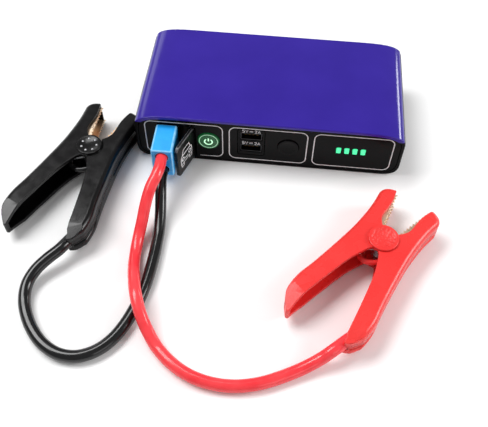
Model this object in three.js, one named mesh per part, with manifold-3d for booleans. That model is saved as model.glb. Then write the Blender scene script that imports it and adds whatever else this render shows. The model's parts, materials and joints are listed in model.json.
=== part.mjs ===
// Jump starter pack: a flat lithium power pack with its plug-in leads and two spring clamps.
// Millimetres, +Z up. The origin is the middle of the pack's base, +X runs along the front
// panel and the panel faces -Y. The leads lie on the same surface as the pack.
import * as THREE from 'three';
import { mergeVertices } from 'three/addons/utils/BufferGeometryUtils.js';
import Module from 'manifold-3d';

const wasm = await Module();
wasm.setup();

// ---------------------------------------------------------------- driving dimensions

const FIT = 0.3; // gap left between neighbouring pieces
const OVERRUN = 1; // how far a cutter runs past the face it opens

// Pack body
const PACK_WIDTH = 165;
const PACK_DEPTH = 80;
const PACK_HEIGHT = 37.5;
const WALL = 2; // wall of the case and of the cover
const CROWN_RUN = 26.5; // width over which the top falls away at each end
const CROWN_DROP = 10; // height over which it does so
const BASE_RUN = 12; // the same for the rounding under the case
const BASE_RISE = 9;
const COVER_SIDE = 6; // height of the cover's ends, from their lower edge to the top
const COVER_OVERHANG = 1.2; // how far the cover stands out over the front panel
const EDGE_ROUND = 0.6; // broken edges of the mouldings

// Screw bosses, one near each corner
const BOSS_SIDE_INSET = 8; // from the pack's end to a boss's middle
const BOSS_FRONT_INSET = 10;
const BOSS_BACK_INSET = 8;
const BOSS_RADIUS = 3.4;
const BOSS_MEET_SHARE = 0.48; // height at which two bosses meet, in shares of the pack's
const SCREW_RADIUS = 1.4;
const SCREW_HEAD_RADIUS = 2.6;
const SCREW_HEAD_HEIGHT = 2;
const SCREW_RECESS = 5;
const SCREW_HEADROOM = 10.5; // from a screw's tip to the pack's top

// Front panel and its three outlined fields
const PANEL_THICKNESS = 3.2;
const FIELD_MARGIN = 6.25; // from the pack's end to the first field
const FIELD_GAP = 3.5; // between two fields
const FIELD_ABOVE = 5; // from a field to the pack's top
const FIELD_BELOW = 4.1; // from the surface below to a field
const FIELD_CORNER = 4.5;
const OUTLINE_WIDTH = 0.9;
const OUTLINE_PROUD = 0.25;

// Push buttons
const BUTTON_RISE = -0.15; // of a button's middle above the pack's mid-height
const BUTTON_PROUD = 0.8;
const BUTTON_ROUND = 0.4; // broken edge of the cap
const BUTTON_RIM = 1.2; // flat rim round a hollowed face
const BUTTON_TRAVEL = 1;
const BUTTON_FLANGE = 1; // radial width of the flange that keeps a button in
const BUTTON_FLANGE_THICKNESS = 1.2;
const BUTTON_STEM_RADIUS = 2;
const BUTTON_STEM_LENGTH = 2.6;
const START_BUTTON_OFFSET = 0.3134; // right of the left field's middle, in shares of its width
const START_BUTTON_SHARE = 0.1381; // its radius, likewise
const POWER_BUTTON_X = 12.5; // right of the middle of the panel
const POWER_BUTTON_RADIUS = 6.4;
const POWER_BUTTON_DISH = 0.5; // depth of the hollow in its face
const SWITCH_WIDTH = 6;

// Charging outlets
const USB_X = -10.4;
const USB_RISE = 1.15; // of the middle of the two above the pack's mid-height
const USB_PITCH = 10.4;
const USB_WIDTH = 13.1; // outside of the metal shell
const USB_HEIGHT = 5.7;
const USB_BOARD_GAP = 0.2; // from a shell's back to the front board
const USB_SHEET = 0.4;
const USB_TONGUE_WIDTH = 11.1;
const USB_TONGUE_THICKNESS = 1.8;
const USB_TONGUE_SETBACK = 1.5;
const BEZEL_WIDTH = 16.4;
const BEZEL_HEIGHT = 22.4;
const BEZEL_CORNER = 1.2;

// Charge gauge
const LAMP_COUNT = 4;
const LAMP_OFFSET = 1; // of the row's middle, left of the middle of the right field
const LAMP_PITCH = 5;
const LAMP_WIDTH = 3.2;
const LAMP_HEIGHT = 5;
const LAMP_CORNER = 1;
const LAMP_RISE = 0.25; // above the pack's mid-height

// Front circuit board, upright behind the panel
const BOARD_THICKNESS = 1.6;
const FRONT_BOARD_SETBACK = 14.4; // of its face behind the panel's face
const FRONT_BOARD_END_GAP = 11.5; // from its right end to the pack's end
const FRONT_BOARD_SOCKET_GAP = 10.35; // from its left end to the start socket
const FRONT_BOARD_HEADROOM = 6.5; // from its top to the pack's top

// Battery of pouch cells
const CELL_COUNT = 3;
const CELL_SIDE_GAP = 3; // from the start board to the cells
const CELL_END_GAP = 12.5; // from the cells to the pack's end
const CELL_FRONT_GAP = 2; // from the front board to the cells
const CELL_BACK_GAP = 6; // from the cells to the pack's back
const CELL_HEADROOM = 8.8; // from the top cell to the pack's top
const CELL_CORNER = 3;
const CELL_ROUND = 1;

// Start board and its relay, beside the cells
const START_BOARD_INSET = 4.5; // from the pack's left end
const START_BOARD_WIDTH = 29;
const START_BOARD_SETBACK = 34; // behind the panel's face
const START_BOARD_BACK_GAP = 14; // from its back edge to the pack's back
const START_BOARD_Z = 8;
const RAIL_DEPTH = 3;
const RELAY_WIDTH = 20;
const RELAY_DEPTH = 22;
const RELAY_HEIGHT = 15;
const RELAY_CORNER = 1;

// Start socket and plug
const PLUG_OFFSET = 0.2041; // left of the left field's middle, in shares of its width
const PLUG_RISE = 0.75; // above the pack's mid-height
const PLUG_WIDTH_SHARE = 0.268; // its width, likewise
const PLUG_HEIGHT = 22;
const PLUG_GRIP = 21.7; // length outside the panel
const PLUG_ROUND = 1.2; // rounding of its long edges
const PLUG_EDGE = 0.8; // broken edges of its two ends
const NOSE_WIDTH_SHARE = 0.2041; // width of the nose, likewise
const NOSE_HEIGHT = 18;
const NOSE_LENGTH = 12.5;
const PIN_RADIUS = 2.3;
const PIN_LENGTH = 9; // free length past the nose
const PIN_ROOT = 4; // length held in the nose
const CONTACT_SHEET = 0.6;
const CONTACT_TAIL = 2;
const SOCKET_WALL = 2.3;
const SOCKET_FLOOR = 2.5;
const BUSBAR_WIDTH = 6;
const BUSBAR_THICKNESS = 1;

// Flap over the socket
const FLAP_HINGE_OFFSET = 0.3196; // right of the plug's middle, in shares of the field's width
const FLAP_SHARE = 0.4371; // its length, likewise
const FLAP_ABOVE = 8.7; // from the flap to the pack's top
const FLAP_BELOW = 3.2; // from the surface below to the flap
const FLAP_THICKNESS = 2;
const FLAP_CORNER = 3;
const FLAP_EDGE = 0.4; // broken edges of its plate
const FLAP_OPEN_DEG = 69.5; // how far it stands open beside the plug
const FLAP_SWING_ROOM = 1.7; // from the hinge axis to the wall of its recess

// Leads
const LEAD_RADIUS = 3.5;
const LEAD_PITCH = 11;
const LEAD_SIDES = 10;
const LEAD_STEP = 2; // spacing of the tube's rings, in lead diameters
const LEAD_SOCKET_DEPTH = 3;
const ROUTE_UNIT = 10; // length in which the routes below are written

// Clamps, lying flat
const CLAMP_LENGTH = 96.9; // closed; the curves below are drawn in shares of it
const CAP_THICKNESS = 1.3;
const CAP_RADIUS = 8.6;
const CAP_ROUND = 0.5;
const GRIP_HEIGHT = 17.5; // over both plates
const PLATE = 2.4; // wall of a plate
const GRIP_WALL = 2.2; // wall along the back of a grip
const GRIP_ROUND_SHARE = 0.0248; // rounding of the back's edges, in shares of the clamp's length
const GRIP_CURVE_STEPS = 2; // steps between the points of its curves
const FREE_GRIP_DROP = 3.5; // fall of each face of a grip at its end
const LEAD_GRIP_DROP = 4;
const LEAD_END_WALL = 3.6; // wall that the lead comes in through
const EAR_RADIUS = 8;
const EAR_THICKNESS = (PLATE - FIT) / 2;
const PIVOT_RADIUS = 2.5;
const JAW_SHEET = 0.9;
const JAW_DEPTH = 6.4; // from the tooth tips to the back of the strip
const TOOTH_COUNT = 9;
const TOOTH_DEPTH = 1.3;
const SPRING_WIRE_RADIUS = 0.75;
const SPRING_RADIUS = 4.6;
const SPRING_TOP_Z = 14.8;
const SPRING_BOTTOM_Z = 5.3;
const SPRING_WHOLE_TURNS = 4;
const SPRING_STEPS = 8; // steps in each turn
const SPRING_SIDES = 5;
const POST_RADIUS = 1;
const POST_SETBACK = 1.5; // of the post from the leg's end
const JAW_TIP_X = 0.75;
const JAW_REAR_X = -1.2;
const SLOPE_TURN = Math.atan2(-0.875, -0.48);
const SLOPE_RUN = 14; // a grip's end falls by its drop over this length
const CAP_BUMPS = 7;
const CAP_BUMP_RADIUS = 0.9;
const CAP_BUMP_CIRCLE = 6;
const BRIDGE_RADIUS = 1.6;
const BRIDGE_X = -5.5;
const BRIDGE_Z = 10.2;
const CRIMP_RADIUS = 2.4;

// Where the two clamps lie: each pivot, the red one from the middle of the pack's front and the
// black one from its left front corner, and how far each grip is turned clockwise from closed
const RED_CLAMP = { x: 69.6, y: -62.2, freeGripDeg: 14.95, leadGripDeg: 50.4 };
const BLACK_CLAMP = { x: -0.2714 * CLAMP_LENGTH, y: -12.2, freeGripDeg: -0.3, leadGripDeg: 31.3 };

// ---------------------------------------------------------------- derived places

const FRONT = -PACK_DEPTH / 2;
const BACK = PACK_DEPTH / 2;
const LEFT_END = -PACK_WIDTH / 2;
const RIGHT_END = PACK_WIDTH / 2;
const PANEL_BACK = FRONT + PANEL_THICKNESS;
const FIELD_WIDTH = (PACK_WIDTH - 2 * FIELD_MARGIN - 2 * FIELD_GAP) / 3;
const FIELD_PITCH = FIELD_WIDTH + FIELD_GAP;
const FIELD_HEIGHT = PACK_HEIGHT - FIELD_ABOVE - FIELD_BELOW;
const FIELD_Z = FIELD_BELOW + FIELD_HEIGHT / 2;
const MID_HEIGHT = PACK_HEIGHT / 2;
const COVER_SPLIT = PACK_HEIGHT - COVER_SIDE;
const BOSS_MEET_Z = BOSS_MEET_SHARE * PACK_HEIGHT;
const BUTTON_Z = MID_HEIGHT + BUTTON_RISE;
const LAMP_Z = MID_HEIGHT + LAMP_RISE;
const USB_UPPER_Z = MID_HEIGHT + USB_RISE + USB_PITCH / 2;
const USB_LOWER_Z = USB_UPPER_Z - USB_PITCH;
const PLUG_X = -FIELD_PITCH - PLUG_OFFSET * FIELD_WIDTH;
const PLUG_Z = MID_HEIGHT + PLUG_RISE;
const PLUG_WIDTH = PLUG_WIDTH_SHARE * FIELD_WIDTH;
const NOSE_WIDTH = NOSE_WIDTH_SHARE * FIELD_WIDTH;
const FLAP_HINGE_X = PLUG_X + FLAP_HINGE_OFFSET * FIELD_WIDTH;
const FLAP_LENGTH = FLAP_SHARE * FIELD_WIDTH;
const FLAP_HEIGHT = PACK_HEIGHT - FLAP_ABOVE - FLAP_BELOW;
const FLAP_Z = FLAP_BELOW + FLAP_HEIGHT / 2;
const START_BUTTON_X = -FIELD_PITCH + START_BUTTON_OFFSET * FIELD_WIDTH;
const START_BUTTON_RADIUS = START_BUTTON_SHARE * FIELD_WIDTH;
const LAMP_FIRST_X = FIELD_PITCH - LAMP_OFFSET - ((LAMP_COUNT - 1) * LAMP_PITCH) / 2;
const FRONT_BOARD_FACE = FRONT + FRONT_BOARD_SETBACK;
const FRONT_BOARD_LEFT = PLUG_X + NOSE_WIDTH / 2 + FIT + SOCKET_WALL + FRONT_BOARD_SOCKET_GAP;
const FRONT_BOARD_RIGHT = RIGHT_END - FRONT_BOARD_END_GAP;
const FRONT_BOARD_TOP = PACK_HEIGHT - FRONT_BOARD_HEADROOM;
const START_BOARD_LEFT = LEFT_END + START_BOARD_INSET;
const START_BOARD_FRONT_Y = FRONT + START_BOARD_SETBACK;
const START_BOARD_DEPTH = BACK - START_BOARD_BACK_GAP - START_BOARD_FRONT_Y;
const CELL_STACK = PACK_HEIGHT - CELL_HEADROOM - WALL - CELL_COUNT * FIT;
const CELL_THICKNESS = CELL_STACK / CELL_COUNT;
const CELL_LEFT = START_BOARD_LEFT + START_BOARD_WIDTH + CELL_SIDE_GAP;
const CELL_LENGTH = RIGHT_END - CELL_END_GAP - CELL_LEFT;
const CELL_FRONT_Y = FRONT_BOARD_FACE + BOARD_THICKNESS + CELL_FRONT_GAP;
const CELL_WIDTH = BACK - CELL_BACK_GAP - CELL_FRONT_Y;
const USB_DEPTH = FRONT_BOARD_SETBACK - 2 * FIT - USB_BOARD_GAP;
const BOSS_X = PACK_WIDTH / 2 - BOSS_SIDE_INSET;
const FLAP_AXIS_Y = FRONT + FLAP_THICKNESS / 2;
const PLUG_FACE = FRONT - FIT;
const PLUG_END = PLUG_FACE - PLUG_GRIP;
const NOSE_END = PLUG_FACE + NOSE_LENGTH;
const PIN_END = NOSE_END + PIN_LENGTH;
const LEAD_Z = [PLUG_Z + LEAD_PITCH / 2, PLUG_Z - LEAD_PITCH / 2];
const CLAMP_BASE = CAP_THICKNESS + FIT / 2; // underside of the lower plates
const GRIP_ROUND = GRIP_ROUND_SHARE * CLAMP_LENGTH;
const JAW_FRONT_Y = 0.3602 * CLAMP_LENGTH;
const JAW_TOOTH_END_Y = 0.129 * CLAMP_LENGTH;
const JAW_REAR_Y = 0.1084 * CLAMP_LENGTH;
const GRIP_SPAN = 0.31 * CLAMP_LENGTH; // reach of the open side of the cutters

// ---------------------------------------------------------------- materials

const finish = (color, roughness, metalness = 0) =>
  new THREE.MeshStandardMaterial({ color, roughness, metalness });

const MATERIAL = {
  cover: finish(0x3d2a9b, 0.12),
  black: finish(0x161617, 0.22),
  blackRubber: finish(0x1b1b1c, 0.6),
  trim: finish(0xc8c3be, 0.35, 0.4),
  redPlastic: finish(0xf03a3c, 0.3),
  redCable: finish(0xf2414a, 0.25),
  blackCable: finish(0x141414, 0.25),
  blue: finish(0x1f97ea, 0.4),
  startGreen: finish(0x1fae5a, 0.35),
  lampGreen: finish(0x45f0a0, 0.3),
  steel: finish(0xa8abae, 0.3, 1),
  copper: finish(0xc97a46, 0.28, 1),
  brass: finish(0xd3ae6b, 0.3, 1),
  board: finish(0x1d5b37, 0.55),
  foil: finish(0xb7babd, 0.35, 0.7),
  relay: finish(0x2b2c2e, 0.5),
};

// ---------------------------------------------------------------- building helpers

const toSolid = (geometry) => {
  const bare = geometry.clone();
  bare.deleteAttribute('normal');
  bare.deleteAttribute('uv');
  const merged = mergeVertices(bare, 1e-4);
  const corners = merged.index.array;
  const faces = [];
  for (let i = 0; i < corners.length; i += 3) {
    const [a, b, c] = corners.slice(i, i + 3);
    if (a !== b && b !== c && c !== a) {
      faces.push(a, b, c);
    }
  }
  const mesh = new wasm.Mesh({
    numProp: 3,
    vertProperties: new Float32Array(merged.attributes.position.array),
    triVerts: new Uint32Array(faces),
  });
  return new wasm.Manifold(mesh);
};

const toGeometry = (body) => {
  const mesh = body.getMesh();
  const geometry = new THREE.BufferGeometry();
  geometry.setAttribute('position', new THREE.BufferAttribute(mesh.vertProperties, 3));
  geometry.setIndex(new THREE.BufferAttribute(mesh.triVerts, 1));
  return geometry;
};

const cut = (geometry, ...tools) =>
  toGeometry(tools.reduce((body, tool) => body.subtract(toSolid(tool)), toSolid(geometry)));

const join = (geometry, ...others) =>
  toGeometry(others.reduce((body, other) => body.add(toSolid(other)), toSolid(geometry)));

const common = (geometry, other) => toGeometry(toSolid(geometry).intersect(toSolid(other)));

// A box between two corners.
const block = (x0, x1, y0, y1, z0, z1) =>
  new THREE.BoxGeometry(x1 - x0, y1 - y0, z1 - z0).translate(
    (x0 + x1) / 2,
    (y0 + y1) / 2,
    (z0 + z1) / 2,
  );

// A round bar along Z.
const barZ = (x, y, radius, z0, z1, sides = 24) =>
  new THREE.CylinderGeometry(radius, radius, z1 - z0, sides)
    .rotateX(Math.PI / 2)
    .translate(x, y, (z0 + z1) / 2);

// A round bar along Y.
const barY = (x, z, radius, y0, y1, sides = 24) =>
  new THREE.CylinderGeometry(radius, radius, y1 - y0, sides).translate(x, (y0 + y1) / 2, z);

// An outline drawn in X and Y, raised from z0 to z1, with its edges rounded by `round`.
const slabZ = (shape, z0, z1, round = 0, curveSegments = 6) => {
  const options = { depth: z1 - z0 - 2 * round, bevelEnabled: round > 0, curveSegments };
  const bevelSegments = round > 1 ? 3 : 2;
  const bevel = { bevelSize: round, bevelThickness: round, bevelOffset: -round, bevelSegments };
  return new THREE.ExtrudeGeometry(shape, { ...options, ...bevel }).translate(0, 0, z0 + round);
};

// An outline drawn in X and Z, running from y0 back to y1.
const slabY = (shape, y0, y1, round = 0, curveSegments = 6) =>
  slabZ(shape, 0, y1 - y0, round, curveSegments).rotateX(Math.PI / 2).translate(0, y1, 0);

const roundedRect = (centreX, centreY, width, height, corner) => {
  const left = centreX - width / 2;
  const right = centreX + width / 2;
  const bottom = centreY - height / 2;
  const top = centreY + height / 2;
  const shape = new THREE.Shape();
  shape.moveTo(left + corner, bottom);
  shape.lineTo(right - corner, bottom);
  shape.absarc(right - corner, bottom + corner, corner, -Math.PI / 2, 0, false);
  shape.lineTo(right, top - corner);
  shape.absarc(right - corner, top - corner, corner, 0, Math.PI / 2, false);
  shape.lineTo(left + corner, top);
  shape.absarc(left + corner, top - corner, corner, Math.PI / 2, Math.PI, false);
  shape.lineTo(left, bottom + corner);
  shape.absarc(left + corner, bottom + corner, corner, Math.PI, 1.5 * Math.PI, false);
  return shape;
};

// A tube of one radius along a smooth curve, with a ring every `step`.
const tubeAlong = (curve, radius, sides, step) => {
  const section = new THREE.Shape();
  section.absarc(0, 0, radius, 0, 2 * Math.PI, false);
  const steps = Math.max(2, Math.round(curve.getLength() / step));
  const options = { steps, extrudePath: curve, curveSegments: sides / 2, bevelEnabled: false };
  return new THREE.ExtrudeGeometry(section, options);
};

// The same body seen in a mirror across X = 0, with its faces turned to point outwards again.
const mirrorX = (geometry) => {
  const mirrored = geometry.index ? geometry.toNonIndexed() : geometry.clone();
  mirrored.scale(-1, 1, 1);
  const p = mirrored.attributes.position;
  const swap = new THREE.Vector3();
  const other = new THREE.Vector3();
  for (let i = 0; i < p.count; i += 3) {
    swap.fromBufferAttribute(p, i + 1);
    other.fromBufferAttribute(p, i + 2);
    p.setXYZ(i + 1, other.x, other.y, other.z);
    p.setXYZ(i + 2, swap.x, swap.y, swap.z);
  }
  return mirrored;
};

const v3 = (x, y, z) => new THREE.Vector3(x, y, z);

// Points of a clamp's curves, given in shares of its length.
const v2 = (x, y) => new THREE.Vector2(x, y);
const inClamp = (x, y) => v2(x * CLAMP_LENGTH, y * CLAMP_LENGTH);
const inClamp3 = (x, y, z) => v3(x * CLAMP_LENGTH, y * CLAMP_LENGTH, z * CLAMP_LENGTH);

const circle = (x, y, radius) => new THREE.Shape().absarc(x, y, radius, 0, 2 * Math.PI, false);

// The lead's last stretch inside its grip, and the crimped barrel past it, both in the closed
// frame of the left half.
const LEAD_IN_GRIP = [
  inClamp3(-0.3591, -0.6398, 0.1073),
  inClamp3(-0.354, -0.5573, 0.1032),
  inClamp3(-0.3467, -0.4696, 0.0991),
  inClamp3(-0.3179, -0.3818, 0.096),
  inClamp3(-0.2704, -0.2951, 0.0929),
  inClamp3(-0.2167, -0.1878, 0.0898),
  inClamp3(-0.1651, -0.0764, 0.0867),
  inClamp3(-0.1434, -0.0227, 0.0846),
];
const CRIMP_ENDS = [inClamp3(-0.1424, -0.0186, 0.0846), inClamp3(-0.1068, 0.1115, 0.0846)];
const LEAD_ROOM = 0.4; // between a lead and the end of its grip

// The bridging wire round the coil, midway between the two halves.
const BRIDGE_LOOP = [
  inClamp(-0.1094, 0.0103),
  inClamp(-0.1135, -0.0568),
  inClamp(-0.0846, -0.1197),
  inClamp(-0.0258, -0.1404),
  inClamp(0.031, -0.1094),
  inClamp(0.064, -0.0578),
  inClamp(0.0826, -0.0041),
].map(({ x, y }) => v3(x, y, BRIDGE_Z));

// Routes of the two leads over the surface that the pack stands on, in ROUTE_UNITs: how far
// each point lies in X and Y off the straight line from the plug to the grip, and its height.
const RED_ROUTE = [
  [-0.604, -0.793, 2.42],
  [-1.359, -0.985, 2.12],
  [-2.043, -1.278, 1.65],
  [-2.677, -1.671, 1],
  [-3.292, -2.064, 0.52],
  [-3.796, -2.456, 0.37],
  [-4.18, -2.899, 0.6],
  [-4.445, -3.392, 1],
  [-4.619, -3.984, 1.24],
  [-4.753, -4.377, 1.06],
  [-4.808, -4.62, 0.64],
  [-4.612, -5.013, 0.36],
  [-4.196, -5.325, 0.36],
  [-3.671, -5.388, 0.36],
  [-2.975, -5.181, 0.36],
  [-2.279, -4.683, 0.36],
  [-1.584, -3.906, 0.36],
  [-0.988, -2.929, 0.36],
  [-0.492, -1.902, 0.42],
  [-0.097, -0.874, 0.66],
];
const BLACK_ROUTE = [
  [0.294, -1.022, 1.29],
  [0.609, -1.443, 1.02],
  [0.933, -2.065, 0.66],
  [1.218, -2.686, 0.42],
  [1.452, -3.508, 0.36],
  [1.646, -4.33, 0.36],
  [1.791, -5.151, 0.36],
  [1.865, -5.873, 0.36],
  [1.84, -6.594, 0.36],
  [1.704, -7.316, 0.36],
  [1.419, -7.937, 0.36],
  [0.933, -8.339, 0.36],
  [0.258, -8.431, 0.36],
  [-0.468, -8.102, 0.36],
  [-1.144, -7.384, 0.36],
  [-1.669, -6.395, 0.36],
  [-2.055, -5.217, 0.36],
  [-2.2, -4.019, 0.4],
  [-2.026, -2.83, 0.54],
  [-1.481, -1.752, 0.74],
  [-0.757, -0.853, 0.92],
];

const pack = new THREE.Group();
const piece = (name, geometry, material, parent = pack) => {
  const mesh = new THREE.Mesh(geometry, material);
  mesh.name = name;
  parent.add(mesh);
  return mesh;
};

// ---------------------------------------------------------------- pack body

// Cross-section of the pack in X and Z, drawn `inset` inside its outer skin: flat above and
// below, with the top falling away gently to the ends and a tighter rounding under them.
const packSection = (inset) => {
  const side = PACK_WIDTH / 2 - inset;
  const top = PACK_HEIGHT - inset;
  const crownX = side - CROWN_RUN;
  const crownZ = top - CROWN_DROP;
  const baseX = side - BASE_RUN;
  const baseZ = inset + BASE_RISE;
  const shape = new THREE.Shape();
  shape.moveTo(-baseX, inset);
  shape.lineTo(baseX, inset);
  const baseTangentX = baseX + BASE_RUN * 0.65;
  const baseTangentZ = baseZ - BASE_RISE * 0.8;
  shape.bezierCurveTo(baseTangentX, inset, side, baseTangentZ, side, baseZ);
  shape.lineTo(side, crownZ);
  const crownTangentX = crownX + CROWN_RUN * 0.64;
  const crownTangentZ = crownZ + CROWN_DROP * 0.85;
  shape.bezierCurveTo(side, crownTangentZ, crownTangentX, top, crownX, top);
  shape.lineTo(-crownX, top);
  shape.bezierCurveTo(-crownTangentX, top, -side, crownTangentZ, -side, crownZ);
  shape.lineTo(-side, baseZ);
  shape.bezierCurveTo(-side, baseTangentZ, -baseTangentX, inset, -baseX, inset);
  return shape;
};

const SECTION_STEPS = 8;
const packSlab = (inset, y0, y1, round = 0) =>
  slabY(packSection(inset), y0, y1, round, SECTION_STEPS);
const bossPlaces = [-BOSS_X, BOSS_X].flatMap((x) =>
  [FRONT + BOSS_FRONT_INSET, BACK - BOSS_BACK_INSET].map((y) => ({ x, y })),
);
const shankRadius = SCREW_RADIUS + FIT;
const headSeat = SCREW_RECESS + SCREW_HEAD_HEIGHT + FIT;
const screwBase = headSeat - FIT - SCREW_HEAD_HEIGHT;
const screwTip = PACK_HEIGHT - SCREW_HEADROOM;
const caseBack = BACK - COVER_OVERHANG;

// The glossy cover: top and the upper part of both ends in one sheet, open at front and back.
const coverGeometry = () => {
  const front = FRONT - COVER_OVERHANG;
  const hollow = packSlab(WALL, front - OVERRUN, BACK + OVERRUN);
  const below = block(-PACK_WIDTH, PACK_WIDTH, -PACK_DEPTH, PACK_DEPTH, -OVERRUN, COVER_SPLIT);
  const skinMiddle = packSlab(WALL / 2, front, BACK);
  let cover = cut(packSlab(0, front, BACK, EDGE_ROUND), hollow, below);
  for (const { x, y } of bossPlaces) {
    const boss = common(barZ(x, y, BOSS_RADIUS, BOSS_MEET_Z + FIT, PACK_HEIGHT, 12), skinMiddle);
    const bore = barZ(x, y, shankRadius, BOSS_MEET_Z - OVERRUN, screwTip + FIT, 8);
    cover = cut(join(cover, boss), bore);
  }
  return cover;
};

// The case: floor, lower ends and a back wall that stands up inside the cover.
const caseGeometry = () => {
  const hollow = packSlab(WALL, FRONT - OVERRUN, caseBack - WALL);
  const splitZ = COVER_SPLIT - FIT;
  const upper = block(-PACK_WIDTH, PACK_WIDTH, -PACK_DEPTH, PACK_DEPTH, splitZ, 2 * PACK_HEIGHT);
  const aroundBackWall = cut(upper, packSlab(WALL + FIT, -PACK_DEPTH - OVERRUN, PACK_DEPTH + OVERRUN));
  const skinMiddle = packSlab(WALL / 2, FRONT + WALL, caseBack - WALL / 2);
  let tub = cut(packSlab(0, FRONT, caseBack, EDGE_ROUND), hollow, aroundBackWall);
  const railRight = START_BOARD_LEFT + START_BOARD_WIDTH;
  const railTop = START_BOARD_Z - FIT;
  const railBack = START_BOARD_FRONT_Y + START_BOARD_DEPTH - RAIL_DEPTH;
  for (const y of [START_BOARD_FRONT_Y, railBack]) {
    const rail = block(-PACK_WIDTH / 2, railRight, y, y + RAIL_DEPTH, 0, railTop);
    tub = join(tub, common(rail, skinMiddle));
  }
  for (const { x, y } of bossPlaces) {
    const boss = common(barZ(x, y, BOSS_RADIUS, 0, BOSS_MEET_Z, 12), skinMiddle);
    const shank = barZ(x, y, shankRadius, -OVERRUN, BOSS_MEET_Z + OVERRUN, 8);
    const recess = barZ(x, y, SCREW_HEAD_RADIUS + FIT, -OVERRUN, headSeat, 10);
    tub = cut(join(tub, boss), shank, recess);
  }
  return tub;
};

// A screw, put in from below: a head in its recess and a shank up into the cover's boss.
const screwGeometry = ({ x, y }) => {
  const head = barZ(x, y, SCREW_HEAD_RADIUS, screwBase, screwBase + SCREW_HEAD_HEIGHT, 10);
  const shank = barZ(x, y, SCREW_RADIUS, screwBase, screwTip, 8);
  return join(head, shank);
};

// ---------------------------------------------------------------- front panel

const flapRecess = {
  left: FLAP_HINGE_X - FLAP_LENGTH - FIT,
  right: FLAP_HINGE_X + FLAP_SWING_ROOM,
  bottom: FLAP_Z - FLAP_HEIGHT / 2 - FIT,
  top: FLAP_Z + FLAP_HEIGHT / 2 + FIT,
  depth: FLAP_THICKNESS + FIT,
};
const flapSpace = (y0) =>
  block(flapRecess.left, flapRecess.right, y0, FRONT + flapRecess.depth, flapRecess.bottom, flapRecess.top);
const noseSection = (room) =>
  roundedRect(PLUG_X, PLUG_Z, NOSE_WIDTH + 2 * room, NOSE_HEIGHT + 2 * room, PLUG_ROUND + room);
const bezelSection = (room) =>
  roundedRect(
    USB_X,
    (USB_UPPER_Z + USB_LOWER_Z) / 2,
    BEZEL_WIDTH + 2 * room,
    BEZEL_HEIGHT + 2 * room,
    BEZEL_CORNER + room,
  );
const lampSection = (index, room) =>
  roundedRect(
    LAMP_FIRST_X + index * LAMP_PITCH,
    LAMP_Z,
    LAMP_WIDTH + 2 * room,
    LAMP_HEIGHT + 2 * room,
    LAMP_CORNER + room,
  );
const lamps = Array.from({ length: LAMP_COUNT }, (_, index) => index);

const panelGeometry = () => {
  const y0 = FRONT - OVERRUN;
  const y1 = PANEL_BACK + OVERRUN;
  const buttonHole = (x, radius) => barY(x, BUTTON_Z, radius + FIT, y0, y1, 24);
  return cut(
    packSlab(WALL + FIT, FRONT, PANEL_BACK),
    flapSpace(y0),
    slabY(noseSection(FIT), y0, y1, 0, 2),
    buttonHole(START_BUTTON_X, START_BUTTON_RADIUS),
    buttonHole(POWER_BUTTON_X, POWER_BUTTON_RADIUS),
    slabY(bezelSection(FIT), y0, y1, 0, 3),
    ...lamps.map((index) => slabY(lampSection(index, FIT), y0, y1, 0, 1)),
  );
};

// One bright outline round a field of the panel; the flap's recess breaks the first one.
const outlineGeometry = (centreX) => {
  const ring = roundedRect(centreX, FIELD_Z, FIELD_WIDTH, FIELD_HEIGHT, FIELD_CORNER);
  const innerWidth = FIELD_WIDTH - 2 * OUTLINE_WIDTH;
  const innerHeight = FIELD_HEIGHT - 2 * OUTLINE_WIDTH;
  const innerCorner = FIELD_CORNER - OUTLINE_WIDTH;
  ring.holes.push(roundedRect(centreX, FIELD_Z, innerWidth, innerHeight, innerCorner));
  const strip = slabY(ring, FRONT - OUTLINE_PROUD, FRONT, 0, 3);
  return cut(strip, flapSpace(FRONT - OVERRUN));
};

// A push button turned about its axis: cap with its edge broken and its face hollowed by
// `dish`, a retaining flange behind the panel and a stem towards its switch.
const buttonGeometry = (x, radius, dish) => {
  const face = FRONT - BUTTON_PROUD;
  const flangeY = PANEL_BACK + FIT;
  const stemY = flangeY + BUTTON_FLANGE_THICKNESS;
  const stemEnd = stemY + BUTTON_STEM_LENGTH;
  const hollow = [0, 0.45, 0.8, 1].map((t) => [
    t * (radius - BUTTON_RIM),
    face + dish * (1 - t ** 2),
  ]);
  const profile = [
    ...(dish > 0 ? hollow : [[0, face]]),
    [radius - BUTTON_ROUND, face],
    [radius, face + BUTTON_ROUND],
    [radius, flangeY],
    [radius + BUTTON_FLANGE, flangeY],
    [radius + BUTTON_FLANGE, stemY],
    [BUTTON_STEM_RADIUS, stemY],
    [BUTTON_STEM_RADIUS, stemEnd],
    [0, stemEnd],
  ];
  const points = profile.map(([r, y]) => new THREE.Vector2(r, y));
  return new THREE.LatheGeometry(points, 24).translate(x, 0, BUTTON_Z);
};

// The switch behind a button; its plunger waits one travel away from the stem.
const switchGeometry = (x) => {
  const stemEnd = PANEL_BACK + FIT + BUTTON_FLANGE_THICKNESS + BUTTON_STEM_LENGTH;
  const plungerFront = stemEnd + BUTTON_TRAVEL + FIT;
  const bodyFront = plungerFront + FIT;
  const half = SWITCH_WIDTH / 2;
  const back = FRONT_BOARD_FACE - FIT;
  const body = block(x - half, x + half, bodyFront, back, BUTTON_Z - half, BUTTON_Z + half);
  return join(body, barY(x, BUTTON_Z, BUTTON_STEM_RADIUS, plungerFront, back, 12));
};

const usbSection = (room) => [USB_X - USB_WIDTH / 2 - room, USB_X + USB_WIDTH / 2 + room];

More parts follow.
